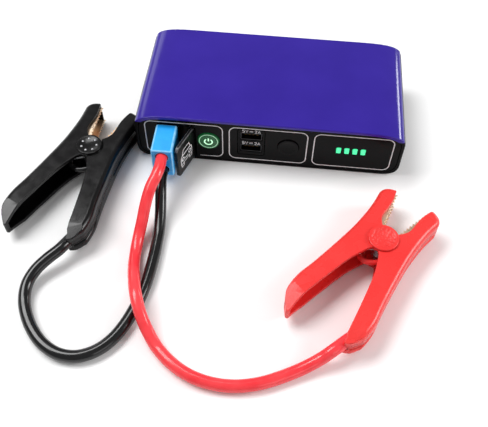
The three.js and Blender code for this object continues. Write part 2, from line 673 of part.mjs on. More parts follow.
const usbShellGeometry = (z) => {
  const [left, right] = usbSection(0);
  const bottom = z - USB_HEIGHT / 2;
  const top = z + USB_HEIGHT / 2;
  const back = FRONT + FIT + USB_DEPTH;
  const outside = block(left, right, FRONT + FIT, back, bottom, top);
  const s = USB_SHEET;
  return cut(outside, block(left + s, right - s, FRONT - OVERRUN, back - s, bottom + s, top - s));
};

const usbTongueGeometry = (z) => {
  const half = USB_TONGUE_WIDTH / 2;
  const y0 = FRONT + FIT + USB_TONGUE_SETBACK;
  const y1 = FRONT + USB_DEPTH - USB_SHEET;
  const top = z + USB_HEIGHT / 2 - USB_SHEET - FIT;
  return block(USB_X - half, USB_X + half, y0, y1, top - USB_TONGUE_THICKNESS, top);
};

const bezelGeometry = () => {
  const [left, right] = usbSection(FIT);
  const slot = (z) => {
    const half = USB_HEIGHT / 2 + FIT;
    return block(left, right, FRONT - OVERRUN, PANEL_BACK + OVERRUN, z - half, z + half);
  };
  return cut(slabY(bezelSection(0), FRONT, PANEL_BACK, 0, 3), slot(USB_UPPER_Z), slot(USB_LOWER_Z));
};

// ---------------------------------------------------------------- inside the pack

const cellGeometry = (index) => {
  const bottom = WALL + FIT + index * (CELL_THICKNESS + FIT);
  const centreX = CELL_LEFT + CELL_LENGTH / 2;
  const centreY = CELL_FRONT_Y + CELL_WIDTH / 2;
  const plan = roundedRect(centreX, centreY, CELL_LENGTH, CELL_WIDTH, CELL_CORNER);
  return slabZ(plan, bottom, bottom + CELL_THICKNESS, CELL_ROUND, 1);
};

const frontBoardGeometry = () =>
  block(
    FRONT_BOARD_LEFT,
    FRONT_BOARD_RIGHT,
    FRONT_BOARD_FACE,
    FRONT_BOARD_FACE + BOARD_THICKNESS,
    WALL + FIT,
    FRONT_BOARD_TOP,
  );

const startBoardGeometry = () =>
  block(
    START_BOARD_LEFT,
    START_BOARD_LEFT + START_BOARD_WIDTH,
    START_BOARD_FRONT_Y,
    START_BOARD_FRONT_Y + START_BOARD_DEPTH,
    START_BOARD_Z,
    START_BOARD_Z + BOARD_THICKNESS,
  );

const relayBase = START_BOARD_Z + BOARD_THICKNESS + FIT;
const relayFrontY = START_BOARD_FRONT_Y + (START_BOARD_DEPTH - RELAY_DEPTH) / 2;
const relayGeometry = () => {
  const centreX = START_BOARD_LEFT + START_BOARD_WIDTH / 2;
  const centreY = relayFrontY + RELAY_DEPTH / 2;
  const plan = roundedRect(centreX, centreY, RELAY_WIDTH, RELAY_DEPTH, RELAY_CORNER);
  return slabZ(plan, relayBase, relayBase + RELAY_HEIGHT, 0, 1);
};

// The start socket: a deep moulding with a well for the plug's nose and a bore for each pin.
const contactOuter = PIN_RADIUS + FIT + CONTACT_SHEET;
const socketBack = PIN_END + SOCKET_FLOOR;
const socketGeometry = () => {
  const width = NOSE_WIDTH + 2 * (FIT + SOCKET_WALL);
  const height = NOSE_HEIGHT + 2 * (FIT + SOCKET_WALL);
  const outside = roundedRect(PLUG_X, PLUG_Z, width, height, PLUG_ROUND + SOCKET_WALL);
  const front = PANEL_BACK + FIT;
  return cut(
    slabY(outside, front, socketBack, 0, 1),
    slabY(noseSection(FIT), front - OVERRUN, NOSE_END + FIT, 0, 2),
    ...LEAD_Z.map((z) => barY(PLUG_X, z, contactOuter + FIT, NOSE_END, socketBack + OVERRUN, 12)),
  );
};

// A contact sleeve in the socket, closed at its tail.
const contactGeometry = (z) => {
  const tail = socketBack + CONTACT_TAIL;
  const sleeve = barY(PLUG_X, z, contactOuter, NOSE_END + 2 * FIT, tail, 16);
  return cut(sleeve, barY(PLUG_X, z, PIN_RADIUS + FIT, NOSE_END, PIN_END + FIT, 16));
};

// A copper strip from a contact's tail back to the side of the relay.
const busbarGeometry = (z) => {
  const y0 = socketBack + CONTACT_TAIL + FIT;
  const y1 = relayFrontY - FIT;
  const half = BUSBAR_WIDTH / 2;
  return block(PLUG_X - half, PLUG_X + half, y0, y1, z - BUSBAR_THICKNESS / 2, z + BUSBAR_THICKNESS / 2);
};

// ---------------------------------------------------------------- plug and flap

const plugGeometry = () => {
  const grip = roundedRect(PLUG_X, PLUG_Z, PLUG_WIDTH, PLUG_HEIGHT, PLUG_ROUND);
  const leadHoles = LEAD_Z.map((z) =>
    barY(PLUG_X, z, LEAD_RADIUS + LEAD_ROOM, PLUG_END - OVERRUN, PLUG_END + LEAD_SOCKET_DEPTH, 16),
  );
  const pinHoles = LEAD_Z.map((z) =>
    barY(PLUG_X, z, PIN_RADIUS + FIT, NOSE_END - PIN_ROOT, NOSE_END + OVERRUN, 12),
  );
  return cut(
    join(
      slabY(grip, PLUG_END, PLUG_FACE, PLUG_EDGE, 2),
      slabY(noseSection(0), PLUG_FACE - PLUG_ROUND, NOSE_END, 0, 2),
    ),
    ...leadHoles,
    ...pinHoles,
  );
};

// A bullet pin, held in the plug's nose.
const pinGeometry = (z) => {
  const root = NOSE_END - PIN_ROOT + FIT;
  const shank = barY(PLUG_X, z, PIN_RADIUS, root, PIN_END - PIN_RADIUS, 12);
  const tip = new THREE.SphereGeometry(PIN_RADIUS, 12, 6).translate(PLUG_X, PIN_END - PIN_RADIUS, z);
  return join(shank, tip);
};

// The flap, drawn closed with its hinge axis on the origin: a plate with a bead along the hinge.
const flapGeometry = () => {
  const plan = roundedRect(
    -FLAP_LENGTH / 2,
    FLAP_Z,
    FLAP_LENGTH,
    FLAP_HEIGHT,
    FLAP_CORNER,
  );
  const half = FLAP_THICKNESS / 2;
  const plate = slabY(plan, -half, half, FLAP_EDGE, 3);
  const beadHalf = FLAP_HEIGHT / 2;
  return join(plate, barZ(0, 0, half, FLAP_Z - beadHalf, FLAP_Z + beadHalf, 12));
};

// ---------------------------------------------------------------- clamps

// A clamp is drawn closed, with its pivot on the origin and its jaws towards +Y. These are the
// curves of the half on the -X side; the other half is its mirror image.
const BACK_CURVE = [
  inClamp(-0.1063, 0.3385),
  inClamp(-0.129, 0.2229),
  inClamp(-0.1806, 0.0619),
  inClamp(-0.2528, -0.1032),
  inClamp(-0.3323, -0.2683),
  inClamp(-0.3922, -0.3818),
  inClamp(-0.42, -0.4747),
];
const INNER_CURVE = [
  inClamp(-0.3261, -0.5108),
  inClamp(-0.2363, -0.3447),
  inClamp(-0.1455, -0.1899),
  inClamp(-0.064, -0.0888),
];
const JAW_CURVE = [
  inClamp(-0.0268, 0.0929),
  inClamp(-0.0402, 0.129),
  inClamp(-0.0433, 0.1754),
  inClamp(-0.0144, 0.2786),
  inClamp(-0.0083, 0.3653),
];
const NOSE_TOP = inClamp(-0.0341, 0.3901);
const NOSE_CORNERS = [inClamp(-0.0103, 0.3901), inClamp(-0.0918, 0.386)];
// The free grip tapers to a narrow end; the end of the grip that carries the lead is blunt.
const FREE_GRIP = {
  end: [inClamp(-0.4159, -0.5366), inClamp(-0.386, -0.6171), inClamp(-0.3705, -0.6171)],
  wall: GRIP_WALL,
  drop: FREE_GRIP_DROP,
};
const LEAD_GRIP = {
  end: [inClamp(-0.4159, -0.516), inClamp(-0.4066, -0.5728), inClamp(-0.3633, -0.5934)],
  wall: LEAD_END_WALL,
  drop: LEAD_GRIP_DROP,
};
const gripTop = CLAMP_BASE + GRIP_HEIGHT;
const hollowBase = CLAMP_BASE + PLATE;
const hollowTop = gripTop - PLATE;

const backCurve = (grip) => new THREE.SplineCurve([...BACK_CURVE, grip.end[0], grip.end[1]]);

const SLOPE_START = inClamp(-0.323, -0.4923);

// Plan of one half.
const gripOutline = (grip) => {
  const shape = new THREE.Shape();
  shape.moveTo(JAW_CURVE[4].x, JAW_CURVE[4].y);
  shape.quadraticCurveTo(NOSE_CORNERS[0].x, NOSE_CORNERS[0].y, NOSE_TOP.x, NOSE_TOP.y);
  shape.quadraticCurveTo(NOSE_CORNERS[1].x, NOSE_CORNERS[1].y, BACK_CURVE[0].x, BACK_CURVE[0].y);
  shape.curves.push(backCurve(grip));
  shape.currentPoint.copy(grip.end[1]);
  shape.lineTo(grip.end[2].x, grip.end[2].y);
  shape.splineThru(INNER_CURVE);
  shape.lineTo(-EAR_RADIUS / 4, -0.75 * EAR_RADIUS);
  shape.lineTo(-EAR_RADIUS / 4, 0.75 * EAR_RADIUS);
  shape.lineTo(JAW_CURVE[0].x, JAW_CURVE[0].y);
  shape.splineThru(JAW_CURVE.slice(1));
  return shape;
};

// The same back and nose, left wide open on the inner side, so that only they get rounded.
const roundedBack = (grip) => {
  const shape = new THREE.Shape();
  shape.moveTo(GRIP_SPAN, NOSE_TOP.y);
  shape.lineTo(NOSE_TOP.x, NOSE_TOP.y);
  shape.quadraticCurveTo(NOSE_CORNERS[1].x, NOSE_CORNERS[1].y, BACK_CURVE[0].x, BACK_CURVE[0].y);
  shape.curves.push(backCurve(grip));
  shape.currentPoint.copy(grip.end[1]);
  shape.lineTo(GRIP_SPAN, grip.end[1].y);
  return slabZ(shape, CLAMP_BASE, gripTop, GRIP_ROUND, GRIP_CURVE_STEPS);
};

// Wedges that slope the top and bottom of a grip down towards its end, `inset` inside its skin.
const endSlopes = (grip, inset) => {
  const run = 2 * SLOPE_RUN;
  const fall = (run * grip.drop) / SLOPE_RUN;
  const outside = GRIP_HEIGHT;
  const wedge = (z, side) => {
    const shape = new THREE.Shape();
    shape.moveTo(0, z);
    shape.lineTo(run, z - side * fall);
    shape.lineTo(run, z + side * outside);
    shape.lineTo(0, z + side * outside);
    return slabY(shape, -GRIP_SPAN, GRIP_SPAN);
  };
  return join(wedge(gripTop - inset, 1), wedge(CLAMP_BASE + inset, -1))
    .rotateZ(SLOPE_TURN)
    .translate(SLOPE_START.x, SLOPE_START.y, 0);
};

// The channel inside a grip: the back curve drawn one wall inwards, open on the inner side.
const gripHollow = (grip) => {
  const wallY = grip.end[2].y + grip.wall;
  const curve = backCurve(grip);
  const steps = 14;
  const wall = Array.from({ length: steps + 1 }, (_, i) => {
    const t = i / steps;
    const at = curve.getPoint(t);
    const along = curve.getTangent(t);
    return v2(at.x - along.y * GRIP_WALL, at.y + along.x * GRIP_WALL);
  }).filter((at) => at.y > wallY);
  const last = wall[wall.length - 1];
  const front = JAW_FRONT_Y + FIT;
  const shape = new THREE.Shape([
    v2(GRIP_SPAN, front),
    v2(JAW_TIP_X - JAW_DEPTH - FIT, front),
    ...wall,
    v2(last.x + (last.y - wallY) / 2, wallY),
    v2(GRIP_SPAN, wallY),
  ]);
  return cut(slabZ(shape, hollowBase, hollowTop), endSlopes(grip, PLATE));
};

// Half-lap ears: one half has the outer layer of each plate round the pivot, the other the
// inner layer, so that they turn past each other like a hinge's knuckles.
const earClearance = (layers) =>
  join(...layers.map(([z0, z1]) => barZ(0, 0, EAR_RADIUS + FIT, z0, z1, 24)));
const innerLayers = [
  [CLAMP_BASE + EAR_THICKNESS, hollowBase + FIT],
  [hollowTop - FIT, gripTop - EAR_THICKNESS],
];
const outerLayers = [
  [CLAMP_BASE - OVERRUN, hollowBase - EAR_THICKNESS],
  [hollowTop + EAR_THICKNESS, gripTop + OVERRUN],
];

// Where a spring leg ends in its grip, and the post that it bears on.
const SPRING_LEG_END = inClamp(-0.1187, -0.0877);
const legAngle = Math.atan2(SPRING_LEG_END.y, SPRING_LEG_END.x);
const legReach = Math.hypot(SPRING_LEG_END.x, SPRING_LEG_END.y);
const legLength = Math.sqrt(legReach ** 2 - SPRING_RADIUS ** 2);
const legLean = Math.atan2(SPRING_RADIUS, legLength);
const postPlace = () => {
  const along = legAngle - legLean;
  const off = SPRING_WIRE_RADIUS + POST_RADIUS + FIT;
  return {
    x: SPRING_LEG_END.x - Math.cos(along) * POST_SETBACK + Math.sin(along) * off,
    y: SPRING_LEG_END.y - Math.sin(along) * POST_SETBACK - Math.cos(along) * off,
  };
};

const gripGeometry = (grip, clearedLayers, postZ) => {
  const plan = join(
    slabZ(gripOutline(grip), CLAMP_BASE, gripTop, 0, GRIP_CURVE_STEPS),
    barZ(0, 0, EAR_RADIUS, CLAMP_BASE, gripTop, 24),
  );
  const post = postPlace();
  return join(
    cut(
      common(roundedBack(grip), plan),
      gripHollow(grip),
      endSlopes(grip, 0),
      earClearance(clearedLayers),
      barZ(0, 0, PIVOT_RADIUS + FIT, CLAMP_BASE - OVERRUN, gripTop + OVERRUN, 16),
    ),
    barZ(post.x, post.y, POST_RADIUS, postZ[0], postZ[1], 10),
  );
};

const freeGripGeometry = () =>
  gripGeometry(FREE_GRIP, innerLayers, [SPRING_TOP_Z - SPRING_WIRE_RADIUS, hollowTop + FIT]);

const leadGripGeometry = () => {
  const postZ = [hollowBase - FIT, SPRING_BOTTOM_Z + SPRING_WIRE_RADIUS];
  const grip = gripGeometry(LEAD_GRIP, outerLayers, postZ);
  const hole = tubeAlong(
    new THREE.LineCurve3(LEAD_IN_GRIP[2], LEAD_IN_GRIP[0]),
    LEAD_RADIUS + LEAD_ROOM,
    16,
    2 * LEAD_RADIUS,
  );
  return mirrorX(cut(grip, hole));
};

// Toothed copper jaw: a channel folded from sheet, open towards the other jaw, with its teeth
// cut along the edges of both flanges and a wall across its rear end.
const jawGeometry = () => {
  const front = v2(JAW_TIP_X, JAW_FRONT_Y);
  const rear = v2(JAW_REAR_X, JAW_TOOTH_END_Y);
  const edge = [];
  for (let i = 0; i < TOOTH_COUNT; i += 1) {
    edge.push(front.clone().lerp(rear, i / TOOTH_COUNT));
    const root = front.clone().lerp(rear, (i + 0.75) / TOOTH_COUNT);
    edge.push(v2(root.x - TOOTH_DEPTH, root.y));
  }
  edge.push(rear);
  const plan = (back, rearY) =>
    new THREE.Shape([
      ...edge,
      v2(rear.x - TOOTH_DEPTH, rearY),
      v2(rear.x - back, rearY),
      v2(rear.x - back, rear.y),
      v2(front.x - back, front.y),
    ]);
  const base = hollowBase + FIT;
  const top = hollowTop - FIT;
  const inside = new THREE.Shape([
    v2(GRIP_SPAN, front.y + OVERRUN),
    v2(front.x - JAW_DEPTH + JAW_SHEET, front.y + OVERRUN),
    v2(front.x - JAW_DEPTH + JAW_SHEET, front.y),
    v2(rear.x - JAW_DEPTH + JAW_SHEET, rear.y),
    v2(rear.x - JAW_DEPTH + JAW_SHEET, JAW_REAR_Y + JAW_SHEET),
    v2(GRIP_SPAN, JAW_REAR_Y + JAW_SHEET),
  ]);
  return cut(
    slabZ(plan(JAW_DEPTH, JAW_REAR_Y), base, top),
    slabZ(inside, base + JAW_SHEET, top - JAW_SHEET),
  );
};

// Torsion spring: one wire, from a leg in the free grip down round the pin to a leg in the
// other grip. It is drawn in the frame midway between the two halves.
const springPoints = (openingDeg) => {
  const half = THREE.MathUtils.degToRad(openingDeg / 2);
  const start = legAngle + half + Math.PI / 2 - legLean;
  const finish = Math.PI - start + 2 * Math.PI * SPRING_WHOLE_TURNS;
  const steps = Math.round((SPRING_STEPS * (finish - start)) / (2 * Math.PI));
  const rim = (angle, z, run) =>
    new THREE.Vector3(
      SPRING_RADIUS * Math.cos(angle) - run * Math.sin(angle),
      SPRING_RADIUS * Math.sin(angle) + run * Math.cos(angle),
      z,
    );
  const coil = Array.from({ length: steps + 1 }, (_, i) => {
    const t = i / steps;
    return rim(start + t * (finish - start), SPRING_TOP_Z + t * (SPRING_BOTTOM_Z - SPRING_TOP_Z), 0);
  });
  return [rim(start, SPRING_TOP_Z, -legLength), ...coil, rim(finish, SPRING_BOTTOM_Z, legLength)];
};

// A closed tube of few sides with a ring at each point, square to the path there.
const wireGeometry = (points, radius, sides) => {
  const rings = points.map((at, i) => {
    const before = points[Math.max(i - 1, 0)];
    const after = points[Math.min(i + 1, points.length - 1)];
    const along = after.clone().sub(before).normalize();
    const across = new THREE.Vector3(0, 0, 1).cross(along).normalize();
    const up = along.clone().cross(across);
    return Array.from({ length: sides }, (_, k) => {
      const angle = (2 * Math.PI * k) / sides;
      const side = across.clone().multiplyScalar(radius * Math.cos(angle));
      return at.clone().add(side).addScaledVector(up, radius * Math.sin(angle));
    });
  });
  const vertices = rings.flat();
  const lastRing = (points.length - 1) * sides;
  const faces = [];
  for (let i = 0; i < points.length - 1; i += 1) {
    for (let k = 0; k < sides; k += 1) {
      const a = i * sides + k;
      const b = i * sides + ((k + 1) % sides);
      faces.push(a, b, a + sides, b, b + sides, a + sides);
    }
  }
  for (let k = 1; k < sides - 1; k += 1) {
    faces.push(0, k + 1, k, lastRing, lastRing + k, lastRing + k + 1);
  }
  const geometry = new THREE.BufferGeometry().setFromPoints(vertices);
  geometry.setIndex(faces);
  return geometry;
};

// Least clear distance between stretches of a wire that lie further apart along it than
// `apart`, taken on points of the path.
const leastGap = (points, radius, apart) => {
  const path = new THREE.CatmullRomCurve3(points).getSpacedPoints(600);
  const spacing = new THREE.CatmullRomCurve3(points).getLength() / 600;
  const skip = Math.ceil(apart / spacing);
  let least = Infinity;
  for (let i = 0; i < path.length; i += 1) {
    for (let j = i + skip; j < path.length; j += 1) {
      least = Math.min(least, path[i].distanceTo(path[j]));
    }
  }
  return least - 2 * radius;
};

// Caps over the two ends of the pivot pin, each with a blind hole for it.
const capGeometry = (z0, z1, pinZ0, pinZ1, bumps) => {
  const disc = slabZ(circle(0, 0, CAP_RADIUS), z0, z1, CAP_ROUND, 12);
  const hole = barZ(0, 0, PIVOT_RADIUS + FIT, pinZ0, pinZ1, 12);
  const cap = cut(disc, hole);
  if (bumps === 0) {
    return cap;
  }
  const studs = Array.from({ length: bumps }, (_, i) => {
    const angle = (2 * Math.PI * i) / bumps;
    const x = CAP_BUMP_CIRCLE * Math.cos(angle);
    const y = CAP_BUMP_CIRCLE * Math.sin(angle);
    return new THREE.SphereGeometry(CAP_BUMP_RADIUS, 8, 4).scale(1, 1, 0.5).translate(x, y, z1);
  });
  return join(cap, ...studs);
};

const redClamp = { ...RED_CLAMP, y: FRONT + RED_CLAMP.y };
const blackClamp = { ...BLACK_CLAMP, x: LEFT_END + BLACK_CLAMP.x, y: FRONT + BLACK_CLAMP.y };

// A point given in the closed frame of a grip, as it lies once the clamp is placed.
const placed = (clamp, turnDeg, point) =>
  point
    .clone()
    .applyAxisAngle(new THREE.Vector3(0, 0, 1), -THREE.MathUtils.degToRad(turnDeg))
    .add(new THREE.Vector3(clamp.x, clamp.y, 0));

const bridgeGeometry = (openingDeg) => {
  const half = THREE.MathUtils.degToRad(openingDeg / 2);
  const up = new THREE.Vector3(0, 0, 1);
  const rear = [v3(BRIDGE_X, JAW_REAR_Y - FIT, BRIDGE_Z), v3(BRIDGE_X - 0.4, JAW_REAR_Y - 2.5, BRIDGE_Z)];
  const start = rear.map((at) => at.clone().applyAxisAngle(up, half));
  const finish = start.map((at) => v3(-at.x, at.y, at.z)).reverse();
  const curve = new THREE.CatmullRomCurve3([...start, ...BRIDGE_LOOP, ...finish]);
  return tubeAlong(curve, BRIDGE_RADIUS, 8, 2 * BRIDGE_RADIUS);
};

// The barrel crimped on the lead's end, beside the rear of the jaw.
const crimpGeometry = () => {
  const [from, to] = CRIMP_ENDS;
  const barrel = tubeAlong(new THREE.LineCurve3(from, to), CRIMP_RADIUS, 12, from.distanceTo(to));
  return mirrorX(barrel);
};

// ---------------------------------------------------------------- leads

// Each lead leaves the plug's end square, comes down to the surface and runs to its clamp.
const leadPoints = (z, route, clamp) => {
  const inGrip = LEAD_IN_GRIP.map((at) => placed(clamp, clamp.leadGripDeg, v3(-at.x, at.y, at.z)));
  const across = route.map(([x, y, height], index) => {
    const share = (index + 1) / (route.length + 1);
    const straight = v3(PLUG_X, PLUG_END, 0).lerp(v3(inGrip[0].x, inGrip[0].y, 0), share);
    return straight.addScaledVector(v3(x, y, height), ROUTE_UNIT);
  });
  return [
    v3(PLUG_X, PLUG_END + LEAD_SOCKET_DEPTH - FIT, z),
    v3(PLUG_X, PLUG_END - LEAD_RADIUS, z),
    v3(PLUG_X, PLUG_END - 2 * LEAD_RADIUS, z),
    ...across,
    ...inGrip,
  ];
};

const leadGeometry = (points) => {
  const curve = new THREE.CatmullRomCurve3(points);
  return tubeAlong(curve, LEAD_RADIUS, LEAD_SIDES, LEAD_STEP * 2 * LEAD_RADIUS);
};

// ---------------------------------------------------------------- assembly

piece('top_cover', coverGeometry(), MATERIAL.cover);
piece('lower_case', caseGeometry(), MATERIAL.black);
bossPlaces.forEach((place, index) => {
  piece(`case_screw_${index + 1}`, screwGeometry(place), MATERIAL.steel);
});
piece('front_panel', panelGeometry(), MATERIAL.black);
piece('outline_left', outlineGeometry(-FIELD_PITCH), MATERIAL.trim);
piece('outline_middle', outlineGeometry(0), MATERIAL.trim);
piece('outline_right', outlineGeometry(FIELD_PITCH), MATERIAL.trim);

piece('start_button', buttonGeometry(START_BUTTON_X, START_BUTTON_RADIUS, 0), MATERIAL.startGreen);
piece('start_switch', switchGeometry(START_BUTTON_X), MATERIAL.relay);
const powerButton = buttonGeometry(POWER_BUTTON_X, POWER_BUTTON_RADIUS, POWER_BUTTON_DISH);
piece('power_button', powerButton, MATERIAL.black);
piece('power_switch', switchGeometry(POWER_BUTTON_X), MATERIAL.relay);

piece('usb_bezel', bezelGeometry(), MATERIAL.black);
piece('usb_shell_upper', usbShellGeometry(USB_UPPER_Z), MATERIAL.steel);
piece('usb_shell_lower', usbShellGeometry(USB_LOWER_Z), MATERIAL.steel);
piece('usb_tongue_upper', usbTongueGeometry(USB_UPPER_Z), MATERIAL.blackRubber);
piece('usb_tongue_lower', usbTongueGeometry(USB_LOWER_Z), MATERIAL.blackRubber);

for (const index of lamps) {
  const bar = slabY(lampSection(index, 0), FRONT, FRONT_BOARD_FACE - FIT, 0, 1);
  piece(`gauge_lamp_${index + 1}`, bar, MATERIAL.lampGreen);
}

piece('front_board', frontBoardGeometry(), MATERIAL.board);
for (let index = 0; index < CELL_COUNT; index += 1) {
  piece(`battery_cell_${index + 1}`, cellGeometry(index), MATERIAL.foil);
}
piece('start_board', startBoardGeometry(), MATERIAL.board);
piece('start_relay', relayGeometry(), MATERIAL.relay);
piece('start_socket', socketGeometry(), MATERIAL.blackRubber);
piece('contact_upper', contactGeometry(LEAD_Z[0]), MATERIAL.brass);
piece('contact_lower', contactGeometry(LEAD_Z[1]), MATERIAL.brass);
piece('busbar_upper', busbarGeometry(LEAD_Z[0]), MATERIAL.copper);
piece('busbar_lower', busbarGeometry(LEAD_Z[1]), MATERIAL.copper);

const flapHinge = new THREE.Group();
flapHinge.position.set(FLAP_HINGE_X, FLAP_AXIS_Y, 0);
flapHinge.rotation.z = THREE.MathUtils.degToRad(FLAP_OPEN_DEG);
pack.add(flapHinge);
piece('port_flap', flapGeometry(), MATERIAL.blackRubber, flapHinge);

piece('plug_housing', plugGeometry(), MATERIAL.blue);
piece('plug_pin_upper', pinGeometry(LEAD_Z[0]), MATERIAL.brass);
piece('plug_pin_lower', pinGeometry(LEAD_Z[1]), MATERIAL.brass);

const addClamp = (side, clamp, plastic, cable, bumps) => {
  const openingDeg = clamp.leadGripDeg - clamp.freeGripDeg;
  const turned = (deg) => {
    const group = new THREE.Group();
    group.position.set(clamp.x, clamp.y, 0);
    group.rotation.z = -THREE.MathUtils.degToRad(deg);
    pack.add(group);
    return group;
  };
  const free = turned(clamp.freeGripDeg);
  const fixed = turned(clamp.leadGripDeg);
  const middle = turned((clamp.freeGripDeg + clamp.leadGripDeg) / 2);
  const pinBase = CAP_THICKNESS / 2;
  const pinTop = gripTop + CLAMP_BASE - pinBase;
  const bottomCap = capGeometry(0, CAP_THICKNESS, pinBase - FIT, CAP_THICKNESS + OVERRUN, 0);
  const topBase = gripTop + CLAMP_BASE - CAP_THICKNESS;
  const topCap = capGeometry(topBase, topBase + CAP_THICKNESS, topBase - OVERRUN, pinTop + FIT, bumps);
  piece(`${side}_free_grip`, freeGripGeometry(), plastic, free);
  piece(`${side}_free_jaw`, jawGeometry(), MATERIAL.copper, free);
  piece(`${side}_lead_grip`, leadGripGeometry(), plastic, fixed);
  piece(`${side}_lead_jaw`, mirrorX(jawGeometry()), MATERIAL.copper, fixed);
  piece(`${side}_crimp`, crimpGeometry(), MATERIAL.steel, fixed);
  piece(`${side}_pivot_pin`, barZ(0, 0, PIVOT_RADIUS, pinBase, pinTop, 12), MATERIAL.steel, fixed);
  piece(`${side}_cap_bottom`, bottomCap, plastic, fixed);
  piece(`${side}_cap_top`, topCap, plastic, fixed);
  piece(`${side}_bridge_wire`, bridgeGeometry(openingDeg), cable, middle);
  const spring = springPoints(openingDeg);
  const gap = leastGap(spring, SPRING_WIRE_RADIUS, 2 * SPRING_RADIUS);
  console.log(`${side}_spring: least gap to itself ${gap.toFixed(2)} mm`);
  const wire = wireGeometry(spring, SPRING_WIRE_RADIUS, SPRING_SIDES);
  piece(`${side}_spring`, wire, MATERIAL.steel, middle);
};
addClamp('red', redClamp, MATERIAL.redPlastic, MATERIAL.redCable, 0);
addClamp('black', blackClamp, MATERIAL.black, MATERIAL.blackCable, CAP_BUMPS);

const redLead = leadGeometry(leadPoints(LEAD_Z[0], RED_ROUTE, redClamp));
const blackLead = leadGeometry(leadPoints(LEAD_Z[1], BLACK_ROUTE, blackClamp));
piece('red_lead', redLead, MATERIAL.redCable);
piece('black_lead', blackLead, MATERIAL.blackCable);

export default pack;
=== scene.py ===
# Jump starter pack with its plug, leads and spring clamps. Metres, +Z up.
import json
import math
from contextlib import contextmanager
from types import SimpleNamespace
from typing import NamedTuple

import bmesh
import bpy
from mathutils import Matrix, Quaternion, Vector

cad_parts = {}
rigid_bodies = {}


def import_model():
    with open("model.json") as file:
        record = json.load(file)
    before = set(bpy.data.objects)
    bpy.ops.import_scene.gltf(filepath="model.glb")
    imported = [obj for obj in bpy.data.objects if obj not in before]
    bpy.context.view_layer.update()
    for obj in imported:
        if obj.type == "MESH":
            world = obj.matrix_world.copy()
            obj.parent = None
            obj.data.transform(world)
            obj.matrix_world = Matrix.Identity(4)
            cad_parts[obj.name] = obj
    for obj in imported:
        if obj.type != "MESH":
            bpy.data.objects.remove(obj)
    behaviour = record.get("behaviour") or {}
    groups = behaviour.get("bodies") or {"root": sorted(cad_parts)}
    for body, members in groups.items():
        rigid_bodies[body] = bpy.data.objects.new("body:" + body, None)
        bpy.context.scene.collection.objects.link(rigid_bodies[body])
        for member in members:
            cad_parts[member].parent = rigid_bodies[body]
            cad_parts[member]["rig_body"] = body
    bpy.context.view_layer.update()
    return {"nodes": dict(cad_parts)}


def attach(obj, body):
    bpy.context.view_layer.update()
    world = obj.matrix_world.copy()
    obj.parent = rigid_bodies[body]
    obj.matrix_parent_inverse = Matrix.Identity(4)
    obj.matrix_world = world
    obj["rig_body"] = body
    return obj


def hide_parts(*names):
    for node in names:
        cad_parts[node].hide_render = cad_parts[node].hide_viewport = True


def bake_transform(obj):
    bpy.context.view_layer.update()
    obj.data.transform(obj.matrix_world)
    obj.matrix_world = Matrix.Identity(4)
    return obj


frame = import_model()
NODES = frame["nodes"]
MM = 0.001
MILLIMETRES = Matrix.Scale(MM, 4)
PLAIN = Matrix.Identity(4)
UP = Vector((0, 0, 1))
QUARTER = math.pi / 2


def add_object(name, data):
    thing = bpy.data.objects.new(name, data)
    bpy.context.scene.collection.objects.link(thing)
    return thing


def turned(degrees, axis="Z"):
    return Matrix.Rotation(math.radians(degrees), 4, axis)


@contextmanager
def editing(mesh):
    """Opens a mesh for editing, and writes it back at the end."""
    bm = bmesh.new()
    bm.from_mesh(mesh)
    yield bm
    bm.to_mesh(mesh)
    bm.free()


def face_outwards(bm):
    bmesh.ops.recalc_face_normals(bm, faces=bm.faces)


def connect(tree, node, inputs):
    """Sets a node's inputs to plain values, or links them to sockets or nodes."""
    for name, value in inputs.items():
        socket = node.inputs[name.replace("_", " ")]
        if isinstance(value, bpy.types.Node):
            value = value.outputs[0]
        if isinstance(value, bpy.types.NodeSocket):
            tree.links.new(value, socket)
        else:
            socket.default_value = value


def add_node(tree, kind, **inputs):
    node = tree.nodes.new(kind)
    connect(tree, node, inputs)
    return node


# ---- camera

CAMERA_PLACE = Vector((8.95, -321.59, 337.79)) * MM
CAMERA_AZIMUTH, CAMERA_DOWN, CAMERA_ROLL = -4.63, 54.3, 1.19
FOCAL_PIXELS, IMAGE_WIDTH, SENSOR_WIDTH = 687.04, 488, 36


def make_camera():
    """The camera at the photograph's place, looking down on the pack's front."""
    data = bpy.data.cameras.new("camera")
    data.sensor_width = SENSOR_WIDTH
    data.lens = FOCAL_PIXELS * SENSOR_WIDTH / IMAGE_WIDTH
    data.clip_start, data.clip_end = 0.01, 20
    camera = add_object("camera", data)
    turn = turned(-CAMERA_AZIMUTH) @ turned(90 - CAMERA_DOWN, "X") @ turned(CAMERA_ROLL)
    camera.matrix_world = Matrix.Translation(CAMERA_PLACE) @ turn
    bpy.context.scene.camera = camera


make_camera()


# ---- finishes

LEAD_ROUND = 0.022  # once round a lead, in metres
SCUFF_TURNS = (0.6, -0.35)
FINISHES = {}


def screen(red, green, blue):
    """An 8-bit screen colour as a linear one."""
    parts = [value / 255 for value in (red, green, blue)]
    parts = [v / 12.92 if v <= 0.04045 else ((v + 0.055) / 1.055) ** 2.4 for v in parts]
    return (*parts, 1.0)


